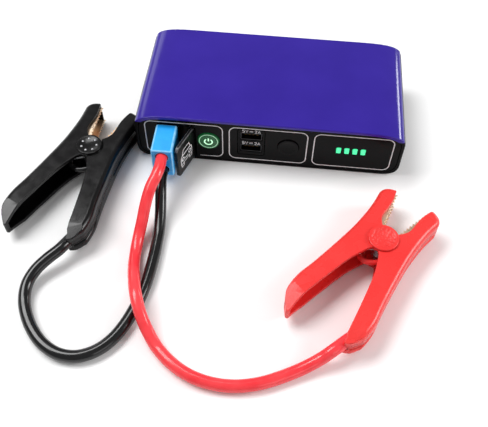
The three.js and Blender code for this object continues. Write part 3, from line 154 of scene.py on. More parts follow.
class Finish:
    """A material between two screen colours, kept by its name, and the few ways in which
    this pack's surfaces vary. Lengths and grains are in millimetres."""

    def __init__(self, name, label, low, high, rough=0.5, slot=None, uv=False, shine=0.5,
                 **more):
        FINISHES[name] = self
        self.slot = slot or name
        self.tones = screen(*low), screen(*high)
        self.material = bpy.data.materials.new(label)
        self.material.use_nodes = True
        self.tree = self.material.node_tree
        self.shader = self.tree.nodes["Principled BSDF"]
        self.place = self.add("ShaderNodeTexCoord").outputs["UV" if uv else "Object"]
        self.bumped = None
        self.set(Roughness=rough, Specular_IOR_Level=shine, **more)

    def add(self, kind, **inputs):
        return add_node(self.tree, kind, **inputs)

    def set(self, **inputs):
        connect(self.tree, self.shader, inputs)
        return self

    def stretched(self, scale, turn=0.0):
        spin = 0, 0, turn
        return self.add("ShaderNodeMapping", Vector=self.place, Scale=scale, Rotation=spin)

    def noise(self, grain, detail, place=None):
        place, scale = place or self.place, 1 / (grain * MM)
        return self.add("ShaderNodeTexNoise", Vector=place, Scale=scale, Detail=detail)

    def cells(self, grain, feature="F1"):
        node = self.add("ShaderNodeTexVoronoi", Vector=self.place, Scale=1 / (grain * MM))
        node.feature = feature
        return node

    def between(self, factor, low, high, to_low=0.0, to_high=1.0):
        """The factor's stretch from low to high, spread from to_low to to_high."""
        ends = {"From Min": low, "From Max": high, "To Min": to_low, "To Max": to_high}
        return self.add("ShaderNodeMapRange", Value=factor, **ends)

    def paint(self, factor):
        """Colours the surface from its first tone to its second by the factor."""
        mix = self.add("ShaderNodeMix", Factor=factor)
        mix.data_type = "RGBA"
        for socket, tone in zip((s for s in mix.inputs if s.type == "RGBA"), self.tones):
            socket.default_value = tone
        return self.set(Base_Color=next(s for s in mix.outputs if s.type == "RGBA"))

    def mottled(self, grain):
        return self.paint(self.between(self.noise(grain, 3), 0.35, 0.65))

    def glossed(self, grain, detail, low, high):
        """Varies the roughness from low to high."""
        return self.set(Roughness=self.between(self.noise(grain, detail), 0.3, 0.7, low, high))

    def relief(self, factor, depth, strength):
        """Adds a bump `depth` deep on what is there."""
        bump = self.add("ShaderNodeBump", Height=factor, Distance=depth * MM, Strength=strength)
        if self.bumped:
            connect(self.tree, bump, {"Normal": self.bumped})
        self.bumped = bump
        return self.set(Normal=bump)

    def grained(self, grain, depth, strength, detail=2, place=None):
        return self.relief(self.noise(grain, detail, place), depth, strength)

    def pebbled(self, grain, depth, strength):
        return self.relief(self.cells(grain), depth, strength)

    def scuffed(self, grain, length, depth):
        """Hairline rubs, `grain` wide and `length` long, a few each way."""
        for turn in SCUFF_TURNS:
            lines = self.noise(grain, 1, self.stretched((grain / length, 1, 1), turn))
            self.relief(self.between(lines, 0.62, 0.7), depth, 0.5)
        return self


def pack_finishes():
    """The pack and its plug."""
    cover = Finish("cover", "indigo_lacquer", (44, 25, 138), (48, 29, 144), shine=0.35)
    cover.mottled(30).glossed(12, 3, 0.09, 0.16).grained(6, 0.012, 0.1).scuffed(0.2, 20, 0.002)

    gloss = Finish("black_gloss", "gloss_black", (7, 6, 7), (11, 10, 11), shine=0.07)
    gloss.mottled(20).glossed(8, 3, 0.08, 0.17).scuffed(0.15, 10, 0.002)

    matt = Finish("black_matt", "grained_black", (15, 15, 16), (21, 21, 22), shine=0.2)
    matt.mottled(10).glossed(3, 2, 0.42, 0.58).pebbled(0.6, 0.03, 0.5).grained(0.3, 0.02, 0.4)

    flap = Finish("flap_black", "flap_moulding", (10, 10, 11), (16, 16, 17), slot="black_matt",
                  shine=0.2)
    flap.mottled(8).glossed(3, 2, 0.24, 0.38).grained(0.6, 0.02, 0.3)

    blue = Finish("blue_plastic", "blue_moulding", (24, 155, 232), (30, 166, 240), shine=0.4)
    blue.mottled(8).glossed(2, 2, 0.32, 0.46).pebbled(0.5, 0.015, 0.4)

    trim = Finish("trim", "printed_line", (202, 202, 204), (226, 226, 228))
    trim.mottled(2).glossed(1, 2, 0.28, 0.45)

    # Painted highlights for broken edges, and inks, with their grain, roughness and glow.
    for name, slot, dark, pale, grain, rough, glow in (
        ("painted_edge_highlight", "black_matt", (68, 68, 70), (104, 104, 106), 2, 0.3, 0),
        ("blue_edge_highlight", "blue_plastic", (100, 186, 242), (140, 206, 246), 3, 0.3, 0),
        ("rating_print", "trim", (192, 192, 194), (218, 218, 220), 1, 0.4, 0),
        ("sign_print", "trim", (226, 226, 228), (242, 242, 244), 1.2, 0.4, 0),
        ("lit_ring", "start_green", (150, 220, 176), (186, 238, 202), 1.2, 0.4, 0.25),
        ("lit_sign", "start_green", (150, 245, 180), (205, 255, 218), 1.2, 0.4, 0.75),
    ):
        Finish(name, name, dark, pale, rough, slot, Emission_Color=screen(*pale),
               Emission_Strength=glow).mottled(grain)

    key = Finish("start_green", "lit_green_key", (6, 42, 22), (10, 60, 32), 0.25,
                 Emission_Color=screen(12, 130, 62), Emission_Strength=0.22)
    key.mottled(2.5).grained(0.5, 0.01, 0.4)
    lamp = Finish("lamp_green", "lit_lamp", (60, 225, 150), (90, 245, 185), 0.3,
                  Emission_Color=screen(64, 250, 165), Emission_Strength=0.6)
    lamp.mottled(1)


def lead_and_clamp_finishes():
    """The mouldings of the clamps, whose caps are grained, and the leads' skins."""
    for side, slot, dark, pale, shine, grain, low, high in (
        ("red", "red_plastic", (232, 49, 47), (237, 56, 53), 0.45, 30, 0.22, 0.33),
        ("black", "black_gloss", (7, 6, 7), (12, 11, 12), 0.33, 20, 0.14, 0.26),
    ):
        for part, label in (("clamp", "moulding"), ("grain", "grained_face")):
            skin = Finish(f"{side}_{part}", f"{side}_{label}", dark, pale, slot=slot, shine=shine)
            skin.mottled(grain).glossed(6, 3, low, high).grained(1.6, 0.03, 0.1)
            if part == "grain" and side == "red":
                skin.pebbled(1.5, 0.4, 1).grained(0.9, 0.2, 0.8)
            elif part == "grain":
                skin.grained(1.1, 0.1, 0.5)
            skin.scuffed(0.2, 12, 0.003)

    for name, slot, dark, pale, rough in (
        ("red_cable", "red_cable", (238, 52, 60), (246, 68, 74), 0.18),
        ("black_cable", "black_cable", (8, 8, 9), (13, 13, 14), 0.15),
        ("bridge_red", "red_cable", (234, 44, 46), (242, 58, 58), 0.16),
        ("bridge_black", "black_cable", (24, 24, 25), (34, 34, 35), 0.1),
    ):
        skin = Finish(name, f"{name}_skin", dark, pale, slot=slot, uv=name == slot)
        skin.place = skin.stretched((1, LEAD_ROUND, 1))
        skin.mottled(10).glossed(6, 2, rough - 0.05, rough + 0.08)
        skin.grained(1.6, 0.06, 0.07, 1, skin.stretched((0.02, 1, 1)))


def metal_and_board_finishes():
    """The metal parts, the boards, the relay and the cells."""
    for name, slot, label, dark, pale, rough in (
        ("steel", "steel", "drawn_steel", (150, 152, 155), (196, 198, 200), 0.28),
        ("copper", "copper", "stamped_copper", (246, 204, 168), (255, 234, 208), 0.34),
        # The USB shells' nickel is painted dark: painted shade for their place deep in the slots.
        ("nickel", "steel", "shade_darkened_nickel", (58, 58, 60), (84, 84, 87), 0.36),
        ("brass", "brass", "turned_brass", (190, 150, 84), (226, 190, 120), 0.26),
    ):
        metal = Finish(name, label, dark, pale, slot=slot, Metallic=1)
        metal.mottled(12).glossed(1.5, 3, rough - 0.08, rough + 0.1)
        metal.grained(0.2, 0.003, 0.3, place=metal.stretched((0.06, 1, 1), 0.4))
    # The studs are the cap's black moulding; their pale metallic colour is a painted highlight.
    Finish("stud", "highlight_painted_stud", (140, 140, 142), (164, 164, 166), 0.16, "black_gloss",
           Metallic=0.7).mottled(2)
    # The contacts' brass is painted dark: painted shade for their place deep in the slots.
    Finish("contact", "shade_darkened_contact", (100, 78, 42), (126, 100, 56), 0.42, "brass",
           Metallic=1).mottled(1)
    foil = Finish("foil", "pouch_foil", (176, 178, 182), (206, 208, 210), 0.34, Metallic=0.8)
    foil.mottled(4).grained(3, 0.1, 0.5, 3)
    board = Finish("board", "circuit_board", (52, 124, 74), (22, 80, 48), 0.4)
    tracks = board.between(board.cells(2.2, "DISTANCE_TO_EDGE"), 0.04, 0.07)
    board.paint(tracks).relief(tracks, 0.03, 0.5)
    relay = Finish("relay_black", "relay_shell", (36, 37, 39), (48, 49, 51), 0.5)
    relay.mottled(3).pebbled(0.5, 0.02, 0.4)


pack_finishes()
lead_and_clamp_finishes()
metal_and_board_finishes()


# ---- shaping

SHARP = math.radians(38)
SPUN_SHARP = math.radians(50)
ROUND_SIDES, BORE_SIDES = 96, 48
TOUCHING = 2e-6  # points this near are one, in metres
NEARLY_FLAT = math.radians(0.6)
SQUARE = 0.985  # a face whose normal is this near to an axis belongs to a side


def shares(steps):
    """Even steps from 0 to 1."""
    return [k / steps for k in range(steps + 1)]


def once_round(count):
    """Angles in even steps, once round."""
    return [2 * math.pi * k / count for k in range(count)]


def polar(radius, angle, x=0, y=0):
    return x + radius * math.cos(angle), y + radius * math.sin(angle)


def disc(x, y, radius, sides):
    return [polar(radius, angle, x, y) for angle in once_round(sides)]


def arc(x, y, radius, start, end, steps=24):
    """Points of an arc from one angle to another, in degrees."""
    turns = (math.radians(start + (end - start) * share) for share in shares(steps))
    return [polar(radius, angle, x, y) for angle in turns]


def rounded_rect(x, y, width, height, corner, steps=8):
    points = []
    for quarter, (sx, sy) in enumerate(((1, 1), (-1, 1), (-1, -1), (1, -1))):
        centre = x + sx * (width / 2 - corner), y + sy * (height / 2 - corner)
        points += [polar(corner, QUARTER * (quarter + share), *centre) for share in shares(steps)]
    return points


def settle(thing):
    """Turns an object's modifiers into its plain mesh."""
    graph = bpy.context.evaluated_depsgraph_get()
    mesh = bpy.data.meshes.new_from_object(thing.evaluated_get(graph))
    mesh.name = thing.name
    thing.modifiers.clear()
    thing.data = mesh
    return thing


def tidy_shading(mesh, angle=SHARP):
    mesh.shade_smooth()
    mesh.set_sharp_from_angle(angle=angle)


def level_flats(thing):
    """Shades a piece's curves smooth and keeps its flats flat."""
    tidy_shading(thing.data)
    thing.modifiers.new("level flats", "WEIGHTED_NORMAL").keep_sharp = True
    settle(thing)


def soften_edges(thing, width, steps, angle):
    """Breaks every edge sharper than `angle` degrees with a small round."""
    bevel = thing.modifiers.new("broken edges", "BEVEL")
    bevel.width = width
    bevel.segments = steps
    bevel.limit_method = "ANGLE"
    bevel.angle_limit = math.radians(angle)
    bevel.use_clamp_overlap = False
    bevel.miter_outer = "MITER_ARC"
    settle(thing)
    level_flats(thing)


def dress(thing, finish):
    thing.data.materials.clear()
    thing.data.materials.append(FINISHES[finish].material)


def finish_piece(thing, finish, node=None, body=None):
    """Dresses a piece, hides the node it stands for and lets it ride on its body."""
    dress(thing, finish)
    if node:
        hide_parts(node)
    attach(thing, body or NODES[node]["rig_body"])
    return thing


def finer(node, finish, width, steps=3, angle=30):
    """The solid of a node again, with its edges broken and its curves shaded smooth."""
    thing = add_object(f"{node}_finished", NODES[node].data.copy())
    with editing(thing.data) as bm:
        bmesh.ops.remove_doubles(bm, verts=bm.verts, dist=TOUCHING)
        bmesh.ops.dissolve_limit(bm, angle_limit=NEARLY_FLAT, verts=bm.verts, edges=bm.edges)
    soften_edges(thing, width * MM, steps, angle)
    return finish_piece(thing, finish, node)


def paint_edge_highlights(thing, finish, turn=0, lowest=-1):
    """Paints highlights on the broken edges of a square piece, turned by `turn` degrees, as a paler
    second finish on the edges that face higher than `lowest`.
    """
    thing.data.materials.append(FINISHES[finish].material)
    level = turned(-turn)
    for face in thing.data.polygons:
        slant = max(abs(part) for part in level @ face.normal) < SQUARE
        if slant and face.normal.z > lowest:
            face.material_index = 1


def solid(name, verts, faces, place=PLAIN):
    """A closed mesh with its faces turned outwards, its points moved by a matrix."""
    mesh = bpy.data.meshes.new(name)
    mesh.from_pydata([tuple(v) for v in verts], [], faces)
    mesh.transform(place)
    with editing(mesh) as bm:
        face_outwards(bm)
    return add_object(name, mesh)


def loft(name, rows, place=PLAIN):
    """A solid through equally long rows of points, closed at both ends."""
    n, verts = len(rows[0]), [at for row in rows for at in row]
    last = len(verts) - n
    faces = [tuple(range(n)), tuple(range(len(verts) - 1, last - 1, -1))]
    for a in range(0, last, n):
        faces += [(a + k, a + k + n, a + (k + 1) % n + n, a + (k + 1) % n) for k in range(n)]
    return solid(name, verts, faces, place)


def prism(name, outline, z0, z1, place):
    """An outline in X and Y, in millimetres, raised from z0 to z1."""
    return loft(name, [[(x, y, z) for x, y in outline] for z in (z0, z1)], place)


def spun(name, profile, sides, place):
    """A profile of (radius, height) turned once round Z, in millimetres, then placed."""
    verts, rows = [], []
    for radius, height in profile:
        if radius == 0:
            rows.append([len(verts)] * sides)
            verts.append((0, 0, height))
        else:
            rows.append(list(range(len(verts), len(verts) + sides)))
            verts += [(*polar(radius, angle), height) for angle in once_round(sides)]
    faces = []
    for low, high in zip(rows, rows[1:]):
        for k in range(sides):
            n = (k + 1) % sides
            face = tuple(dict.fromkeys((low[k], low[n], high[n], high[k])))
            if len(face) > 2:
                faces.append(face)
    thing = solid(name, verts, faces, place)
    tidy_shading(thing.data, SPUN_SHARP)
    return thing


def carve(thing, tool, operation="DIFFERENCE"):
    """Cuts, joins or crosses a solid with another one, which is used up."""
    boolean = thing.modifiers.new(operation.lower(), "BOOLEAN")
    boolean.operation = operation
    boolean.solver = "MANIFOLD"
    boolean.object = tool
    settle(thing)
    bpy.data.objects.remove(tool)


def split_wide_faces(thing):
    """Makes triangles of faces of many sides, so that their edges break cleanly."""
    with editing(thing.data) as bm:
        bmesh.ops.remove_doubles(bm, verts=bm.verts, dist=TOUCHING)
        wide = [face for face in bm.faces if len(face.verts) > 4]
        bmesh.ops.triangulate(bm, faces=wide)


def merge(thing, others):
    """Takes the meshes of other objects into one, which keeps its name."""
    with editing(thing.data) as bm:
        for other in others:
            bm.from_mesh(other.data)
            bpy.data.objects.remove(other)


# ---- node trees


class Tree:
    """A geometry tree that makes a mesh with one finish from another mesh and some values."""

    def __init__(self, name, **inputs):
        self.tree = bpy.data.node_groups.new(name, "GeometryNodeTree")
        new_socket = self.tree.interface.new_socket
        self.sockets = {}
        for label, kind in {"Geometry": "Geometry", **inputs, "Finish": "Material"}.items():
            socket = new_socket(label, in_out="INPUT", socket_type=f"NodeSocket{kind}")
            self.sockets[label] = socket.identifier
        new_socket("Geometry", in_out="OUTPUT", socket_type="NodeSocketGeometry")
        self.given = self.tree.nodes.new("NodeGroupInput").outputs

    def add(self, kind, **inputs):
        return add_node(self.tree, kind, **inputs)

    def end(self, made):
        """Every tree ends in real geometry with its finish."""
        smooth = self.add("GeometryNodeSetShadeSmooth", Geometry=made)
        real = self.add("GeometryNodeRealizeInstances", Geometry=smooth)
        coat = self.add("GeometryNodeSetMaterial", Geometry=real, Material=self.given["Finish"])
        add_node(self.tree, "NodeGroupOutput", Geometry=coat)
        return self

    def sweep(self, line, profile):
        """Ends in a closed profile drawn along a line."""
        ends = {"Curve": line, "Profile Curve": profile, "Fill Caps": True}
        return self.end(self.add("GeometryNodeCurveToMesh", **ends))

    def stamp(self, points, piece):
        """Ends in a piece set on every point."""
        return self.end(self.add("GeometryNodeInstanceOnPoints", Points=points, Instance=piece))

    def run(self, thing, finish, **values):
        """Lets the tree work on an object and keeps what it makes as the object's mesh."""
        modifier = thing.modifiers.new(self.tree.name, "NODES")
        modifier.node_group = self.tree
        for label, value in values.items():
            modifier[self.sockets[label]] = value
        modifier[self.sockets["Finish"]] = FINISHES[finish].material
        return settle(thing)


def round_wire_tree():
    """Turns a line of edges into a round wire."""
    tree = Tree("round wire", Radius="Float", Sides="Int")
    line = tree.add("GeometryNodeMeshToCurve", Mesh=tree.given["Geometry"])
    size = {"Radius": tree.given["Radius"], "Resolution": tree.given["Sides"]}
    return tree.sweep(line, tree.add("GeometryNodeCurvePrimitiveCircle", **size))


def printed_line_tree():
    """Turns a flat line of edges into a low rounded strip, as a printed line stands up."""
    tree = Tree("printed line", Width="Float", Height="Float")
    line = tree.add("GeometryNodeMeshToCurve", Mesh=tree.given["Geometry"])
    upright = tree.add("GeometryNodeSetCurveNormal", Curve=line)
    upright.mode = "Z_UP"
    circle = tree.add("GeometryNodeCurvePrimitiveCircle", Resolution=10, Radius=0.5)
    axes = {"X": tree.given["Width"], "Y": tree.given["Height"]}
    size = add_node(tree.tree, "ShaderNodeCombineXYZ", **axes)
    return tree.sweep(upright, tree.add("GeometryNodeTransform", Geometry=circle, Scale=size))


def studs_tree():
    """Sets a low round stud on every point of a mesh."""
    tree = Tree("studs", Radius="Float")
    points = tree.add("GeometryNodeMeshToPoints", Mesh=tree.given["Geometry"])
    size = {"Segments": 20, "Rings": 10, "Radius": tree.given["Radius"]}
    ball = tree.add("GeometryNodeMeshUVSphere", **size)
    low = tree.add("GeometryNodeTransform", Geometry=ball, Scale=(1, 1, 0.5))
    return tree.stamp(points, low)


def contacts_tree():
    """A row of flat contacts, side by side along X."""
    tree = Tree("contacts", Pitch="Vector", Size="Vector", Count="Int")
    size = {"Count": tree.given["Count"], "Offset": tree.given["Pitch"]}
    row = tree.add("GeometryNodeMeshLine", **size)
    return tree.stamp(row, tree.add("GeometryNodeMeshCube", Size=tree.given["Size"]))


ROUND_WIRE = round_wire_tree()
PRINTED_LINE = printed_line_tree()
STUDS = studs_tree()
CONTACTS = contacts_tree()


def line_mesh(name, points, closed=False):
    """A line of edges through points, for a tree to work on."""
    mesh = bpy.data.meshes.new(name)
    edges = [(k, k + 1) for k in range(len(points) - 1)]
    if closed:
        edges.append((len(points) - 1, 0))
    mesh.from_pydata([tuple(p) for p in points], edges, [])
    return add_object(name, mesh)


def printed(name, strokes, width, height, place, finish):
    """Flat strokes, each a list of points or a pair of it and True where it closes, in
    millimetres in X and Y, printed and then placed."""
    lines = []
    for index, stroke in enumerate(strokes):
        points, closed = stroke if isinstance(stroke, tuple) else (stroke, False)
        line = line_mesh(f"{name}_{index}", [(x, y, 0) for x, y in points], closed)
        lines.append(PRINTED_LINE.run(line, finish, Width=width, Height=height))
    thing = lines[0]
    if len(lines) > 1:
        merge(thing, lines[1:])
    thing.name = name
    thing.data.transform(place)
    return thing


# ---- pack

FRONT_Y = -40.0  # face of the panel
FACING_FRONT = Matrix(((1, 0, 0), (0, 0, -1), (0, 1, 0))).to_4x4()
FIELDS = {"left": -52.0, "middle": 0.0, "right": 52.0}
FIELD_WIDTH, FIELD_HEIGHT, FIELD_CORNER, FIELD_Z = 48.5, 28.4, 4.5, 18.3
LINE_WIDTH, LINE_HEIGHT = 0.66, 0.24
FLAP_RECESS = (-55.1, 16.0, 25.4, 26.2, 0.2, 1)


def on_front(x, z, y=FRONT_Y):
    """Takes a drawing in X and Y, its Z outwards, to the panel, which faces -Y."""
    return MILLIMETRES @ Matrix.Translation((x, y, z)) @ FACING_FRONT


PANEL = on_front(0, 0)


def panel_prism(name, outline, back, front):
    """A prism in the panel, from and to a height over its face."""
    return prism(name, outline, back, front, PANEL)


def fit(thing, finish, node, width, steps=3, angle=30):
    """Breaks the edges of a piece of the pack, which stands for a node."""
    soften_edges(thing, width * MM, steps, angle)
    finish_piece(thing, finish, node)


def make_outlines():
    """The thin bright lines round the three fields; the flap's recess breaks the first."""
    for name, x in FIELDS.items():
        size = FIELD_WIDTH - LINE_WIDTH, FIELD_HEIGHT - LINE_WIDTH, FIELD_CORNER - LINE_WIDTH / 2
        line = [(rounded_rect(x, FIELD_Z, *size, 12), True)]
        strip = printed(f"outline_{name}_line", line, LINE_WIDTH, LINE_HEIGHT, PANEL, "trim")
        if name == "left":
            carve(strip, panel_prism("recess", rounded_rect(*FLAP_RECESS), -5, 5))
        finish_piece(strip, "trim", f"outline_{name}")


# ---- buttons and lamps

BUTTON_Z = 18.6
START_X, START_RADIUS = -36.8, 6.7
POWER_X, POWER_RADIUS = 12.5, 6.4
LAMP_X, LAMP_PITCH, LAMP_Z = 38.5, 5, 19.0
LAMP_WINDOW, LAMP_DEPTH = (2.8, 4.9, 0.5, 5), (-14.1, -0.05)


def button(name, x, radius, face, finish):
    """A push button turned about its axis: stem, flange, skirt, broken edge and face."""
    flange = radius + 1
    stem = [(0, -7.3), (2, -7.3), (2, -4.7), (flange, -4.7), (flange, -3.5), (radius, -3.5)]
    edge = [(radius - 0.4 + r, 0.4 + h) for r, h in arc(0, 0, 0.4, 0, 90, 6)]
    thing = spun(f"{name}_cap", stem + edge + face, ROUND_SIDES, on_front(x, BUTTON_Z))
    finish_piece(thing, finish, name)


def sign(name, place, strokes, line, proud, finish, body):
    """A generic sign in thin printed strokes on the front of a piece."""
    thing = printed(name, strokes, line, 2 * proud, place, finish)
    finish_piece(thing, finish, body=body)


def power_sign(size):
    """A ring open at its top with a bar through the opening."""
    return [arc(0, -0.1 * size, size, 125, 415), [(0, size * 1.15), (0, 0.1 * size)]]


def make_buttons():
    groove = [(6.2, 0.8), (6.12, 0.66), (5.3, 0.66), (5.2, 0.8), (0, 0.8)]
    button("start_button", START_X, START_RADIUS, groove, "start_green")
    ring = [(arc(0, 0, 5.71, 0, 352.5, 46), True)]
    face = on_front(START_X, BUTTON_Z, -40.66)
    sign("start_ring", face, ring, 0.5, 0.12, "lit_ring", "start_button")
    face = on_front(START_X, BUTTON_Z, -40.8)
    sign("start_sign", face, power_sign(2.4), 0.8, 0.08, "lit_sign", "start_button")
    dish = [(5.2 * k / 10, 0.3 + 0.5 * (k / 10) ** 2) for k in range(10, -1, -1)]
    button("power_button", POWER_X, POWER_RADIUS, dish, "black_gloss")


def make_lamps():
    """Four lit windows of the charge gauge, each a rounded block with a light pipe behind."""
    for index in range(1, 5):
        window = rounded_rect(LAMP_X + LAMP_PITCH * index, LAMP_Z, *LAMP_WINDOW)
        lens = panel_prism(f"gauge_lamp_{index}_lens", window, *LAMP_DEPTH)
        fit(lens, "lamp_green", f"gauge_lamp_{index}", 0.2, 3, 50)


# ---- charging outlets

USB_X = -10.4
USB_PLACES = {"upper": 25.1, "lower": 14.7}
BEZEL, BEZEL_DEPTH = (19.9, 16.4, 22.4, 1.2), (-3.2, 0)
# Sections of an outlet: its width, height, corner and steps, and its reach over the panel.
SLOT = (13.7, 6.3, 0.35, 3), (-5, 5)
SHELL = (13.1, 5.7, 0.7, 5), (-13.9, -0.3)
MOUTH = (12.3, 4.9, 0.35, 5), (-13.5, 2)
TONGUE = (11.1, 1.8, 0.25, 3), (-13.2, -1.8)
TONGUE_RISE = 1.25
FIRST_CONTACT = (-3.6, -34.6, 0.34)  # from the middle of an outlet
CONTACT_PITCH = (2.4 * MM, 0, 0)
CONTACT_SIZE = (1.0 * MM, 8 * MM, 0.16 * MM)
RATING_HEIGHT, RATING_RISE = 2.3, 4.62
# Strokes of the plain rating in shares of its height, each with its advance to the next.
RATING_SIGNS = (
    ([[(0.56, 1), (0.06, 1), (0.02, 0.56), (0.3, 0.64), (0.52, 0.52), (0.58, 0.3), (0.46, 0.07),
       (0.22, 0), (0, 0.1)]], 0.86),
    ([[(0, 1), (0.31, 0), (0.62, 1)]], 1.06),
    ([[(0, 0.64), (0.92, 0.64)], [(0, 0.34), (0.22, 0.34)], [(0.35, 0.34), (0.57, 0.34)],
      [(0.7, 0.34), (0.92, 0.34)]], 1.36),
    ([[(0.02, 0.8), (0.14, 0.96), (0.34, 1), (0.52, 0.88), (0.54, 0.66), (0.36, 0.4), (0, 0),
       (0.58, 0)]], 0.84),
    ([[(0, 0), (0.31, 1), (0.62, 0)], [(0.11, 0.34), (0.51, 0.34)]], 0.62),
)


def rating(height):
    """A charging outlet's voltage and current, as strokes about the origin."""
    strokes, reach = [], 0
    for figure, advance in RATING_SIGNS:
        strokes += [[((x + reach) * height, y * height) for x, y in line] for line in figure]
        reach += advance
    return [[(x - reach * height / 2, y - height / 2) for x, y in line] for line in strokes]


def outlet_part(name, z, section, depth):
    return panel_prism(name, rounded_rect(USB_X, z, *section), *depth)


def make_outlets():
    """The bezel with its two slots, and in each a metal shell with a tongue and its contacts."""
    bezel = panel_prism("usb_bezel_plate", rounded_rect(USB_X, *BEZEL), *BEZEL_DEPTH)
    for z in USB_PLACES.values():
        carve(bezel, outlet_part("slot", z, *SLOT))
    split_wide_faces(bezel)
    fit(bezel, "black_gloss", "usb_bezel", 0.3)
    for name, z in USB_PLACES.items():
        shell = outlet_part(f"usb_{name}_sleeve", z, *SHELL)
        carve(shell, outlet_part("mouth", z, *MOUTH))
        fit(shell, "nickel", f"usb_shell_{name}", 0.1, 2, 50)
        tongue = outlet_part(f"usb_{name}_tongue_plate", z + TONGUE_RISE, *TONGUE)
        fit(tongue, "black_matt", f"usb_tongue_{name}", 0.15, 2, 50)
        row = line_mesh(f"usb_{name}_contacts", [(0, 0, 0)])
        CONTACTS.run(row, "contact", Pitch=CONTACT_PITCH, Size=CONTACT_SIZE, Count=4)
        first = (Vector((USB_X, 0, z)) + Vector(FIRST_CONTACT)) * MM
        row.data.transform(Matrix.Translation(first))
        finish_piece(row, "contact", body="pack")
        place = on_front(USB_X, z + RATING_RISE)
        sign(f"usb_{name}_rating", place, rating(RATING_HEIGHT), 0.42, 0.05, "rating_print", "pack")


# ---- flap

FLAP_HINGE = (-46.4, -39.0)
FLAP_TURN = 69.5
FLAP_MIDDLE = (-11.0, 15.6, 1.0)  # of its outer face, when closed, from the hinge


def car_sign():
    """A plain car seen from the front, as on any starting outlet: roof, body and wheels."""
    body = [(-6.6, -0.2), (-6.2, 2.0), (-5.0, 2.9), (-3.4, 7.0), (3.4, 7.0), (5.0, 2.9),
            (6.2, 2.0), (6.6, -0.2), (6.6, -4.0), (-6.6, -4.0)]
    wheels = [
        [(x - 1.3, -4.0), (x - 1.3, -6.4), (x + 1.3, -6.4), (x + 1.3, -4.0)] for x in (-4.8, 4.8)
    ]
    lamps = [(arc(x, -0.7, 1.25, 0, 345, 23), True) for x in (-4.1, 4.1)]
    sill, grille = [(-4.5, 2.9), (4.5, 2.9)], [(-1.8, -2.0), (1.8, -2.0)]
    return [(body, True), *wheels, *lamps, sill, grille]


def make_flap():
    """The flap over the starting outlet, swung open, with the sign on its outer face."""
    place = MILLIMETRES @ Matrix.Translation((*FLAP_HINGE, 0)) @ turned(FLAP_TURN) @ FACING_FRONT
    # The flap's upward-facing broken edges are painted paler: a painted highlight.
    paint_edge_highlights(finer("port_flap", "flap_black", 0.22, 4), "painted_edge_highlight", FLAP_TURN, 0.1)
    face = place @ Matrix.Translation(FLAP_MIDDLE)
    sign("flap_sign", face, car_sign(), 0.85, 0.08, "sign_print", "port_flap")


# ---- clamps

CLAMP_LENGTH = 96.9
GRIP_BASE, GRIP_TOP = 1.45, 18.95
PLATE = 2.4
HOLLOW_BASE, HOLLOW_TOP = GRIP_BASE + PLATE, GRIP_TOP - PLATE
GRIP_WALL = 2.2
GRIP_ROUND, GRIP_EDGE = 3.4, 0.35
SKIN = 0.1  # how far the finely drawn back stays inside the solid's
EAR_RADIUS = 8.0
EAR_LAYER = 1.05
PIN_HOLE = 2.8  # radius
GAP = 0.3
THROUGH = GRIP_BASE - 1, GRIP_TOP + 1  # ends of a cut right through a grip
OPEN_SIDE = 60.0  # reach of the cutters on the open side
CUT_TOUCHING, CUT_FLAT = 0.01, math.radians(0.3)  # after cutting, still in millimetres


class Clamp(NamedTuple):
    """Where one clamp lies: its pivot, and how far each half is turned clockwise from closed."""

    side: str
    place: Vector
    free_turn: float
    lead_turn: float

    def matrix(self, turn):
        """From the closed frame in millimetres to the row frame in metres."""
        return MILLIMETRES @ Matrix.Translation(self.place) @ turned(-turn)


RED = Clamp("red", Vector((69.6, -102.2, 0)), 14.95, 50.4)
BLACK = Clamp("black", Vector((-108.8, -52.2, 0)), -0.3, 31.3)


def in_clamp(*places):
    """Places given in shares of the clamp's length."""
    return tuple(Vector((x, y)) * CLAMP_LENGTH for x, y in places)


# A half, closed, on the -X side: its back from the nose to the tail, its inner edge from the
# tail to the pivot and its mouth from the pivot to the tip of the jaw.
BACK_CURVE = in_clamp(
    (-0.1063, 0.3385), (-0.129, 0.2229), (-0.1806, 0.0619), (-0.2528, -0.1032),
    (-0.3323, -0.2683), (-0.3922, -0.3818), (-0.42, -0.4747),
)
INNER_CURVE = in_clamp(
    (-0.3261, -0.5108), (-0.2363, -0.3447), (-0.1455, -0.1899), (-0.064, -0.0888)
)
JAW_CURVE = in_clamp(
    (-0.0268, 0.0929), (-0.0402, 0.129), (-0.0433, 0.1754), (-0.0144, 0.2786), (-0.0083, 0.3653)
)
NOSE_TOP, NOSE_INNER, NOSE_OUTER = in_clamp((-0.0341, 0.3901), (-0.0103, 0.3901), (-0.0918, 0.386))
SLOPE_START = in_clamp((-0.323, -0.4923))[0]
SLOPE_TURN = math.atan2(-0.875, -0.48)
SLOPE_LENGTH = 28
HOLLOW_FRONT_X = -5.95
JAW_FRONT_Y = 0.3602 * CLAMP_LENGTH
JAW_REAR_Y = 0.1084 * CLAMP_LENGTH
PARTING_Z = 10.2
PARTING_STEP = 1.1  # from one parting groove to the other
PARTING_WIDTH, PARTING_DEPTH = 0.4, 0.3
LEAD_HOLE = (Vector((-33.6, -45.5, 9.6)), Vector((-34.96, -64.2, 10.5)), 3.9)
LEAD_NOTCH = ((-37.4, -60), (-28, -60), (-28, -49), (-33.0, -52.0), (-34.6, -53.6))
SPRING_LEG_END = in_clamp((-0.1187, -0.0877))[0]
SPRING_RADIUS = 4.6
SPRING_LEG = math.sqrt(SPRING_LEG_END.length**2 - SPRING_RADIUS**2)
SPRING_LEG_TURN = math.atan2(*SPRING_LEG_END.yx) - math.atan2(SPRING_RADIUS, SPRING_LEG)
SPRING_TOP, SPRING_BOTTOM = 14.8, 5.3
SPRING_TURNS = 4
POST_BACK, POST_ASIDE, POST_RADIUS = 1.5, 2.05, 1  # from the end of the spring's leg
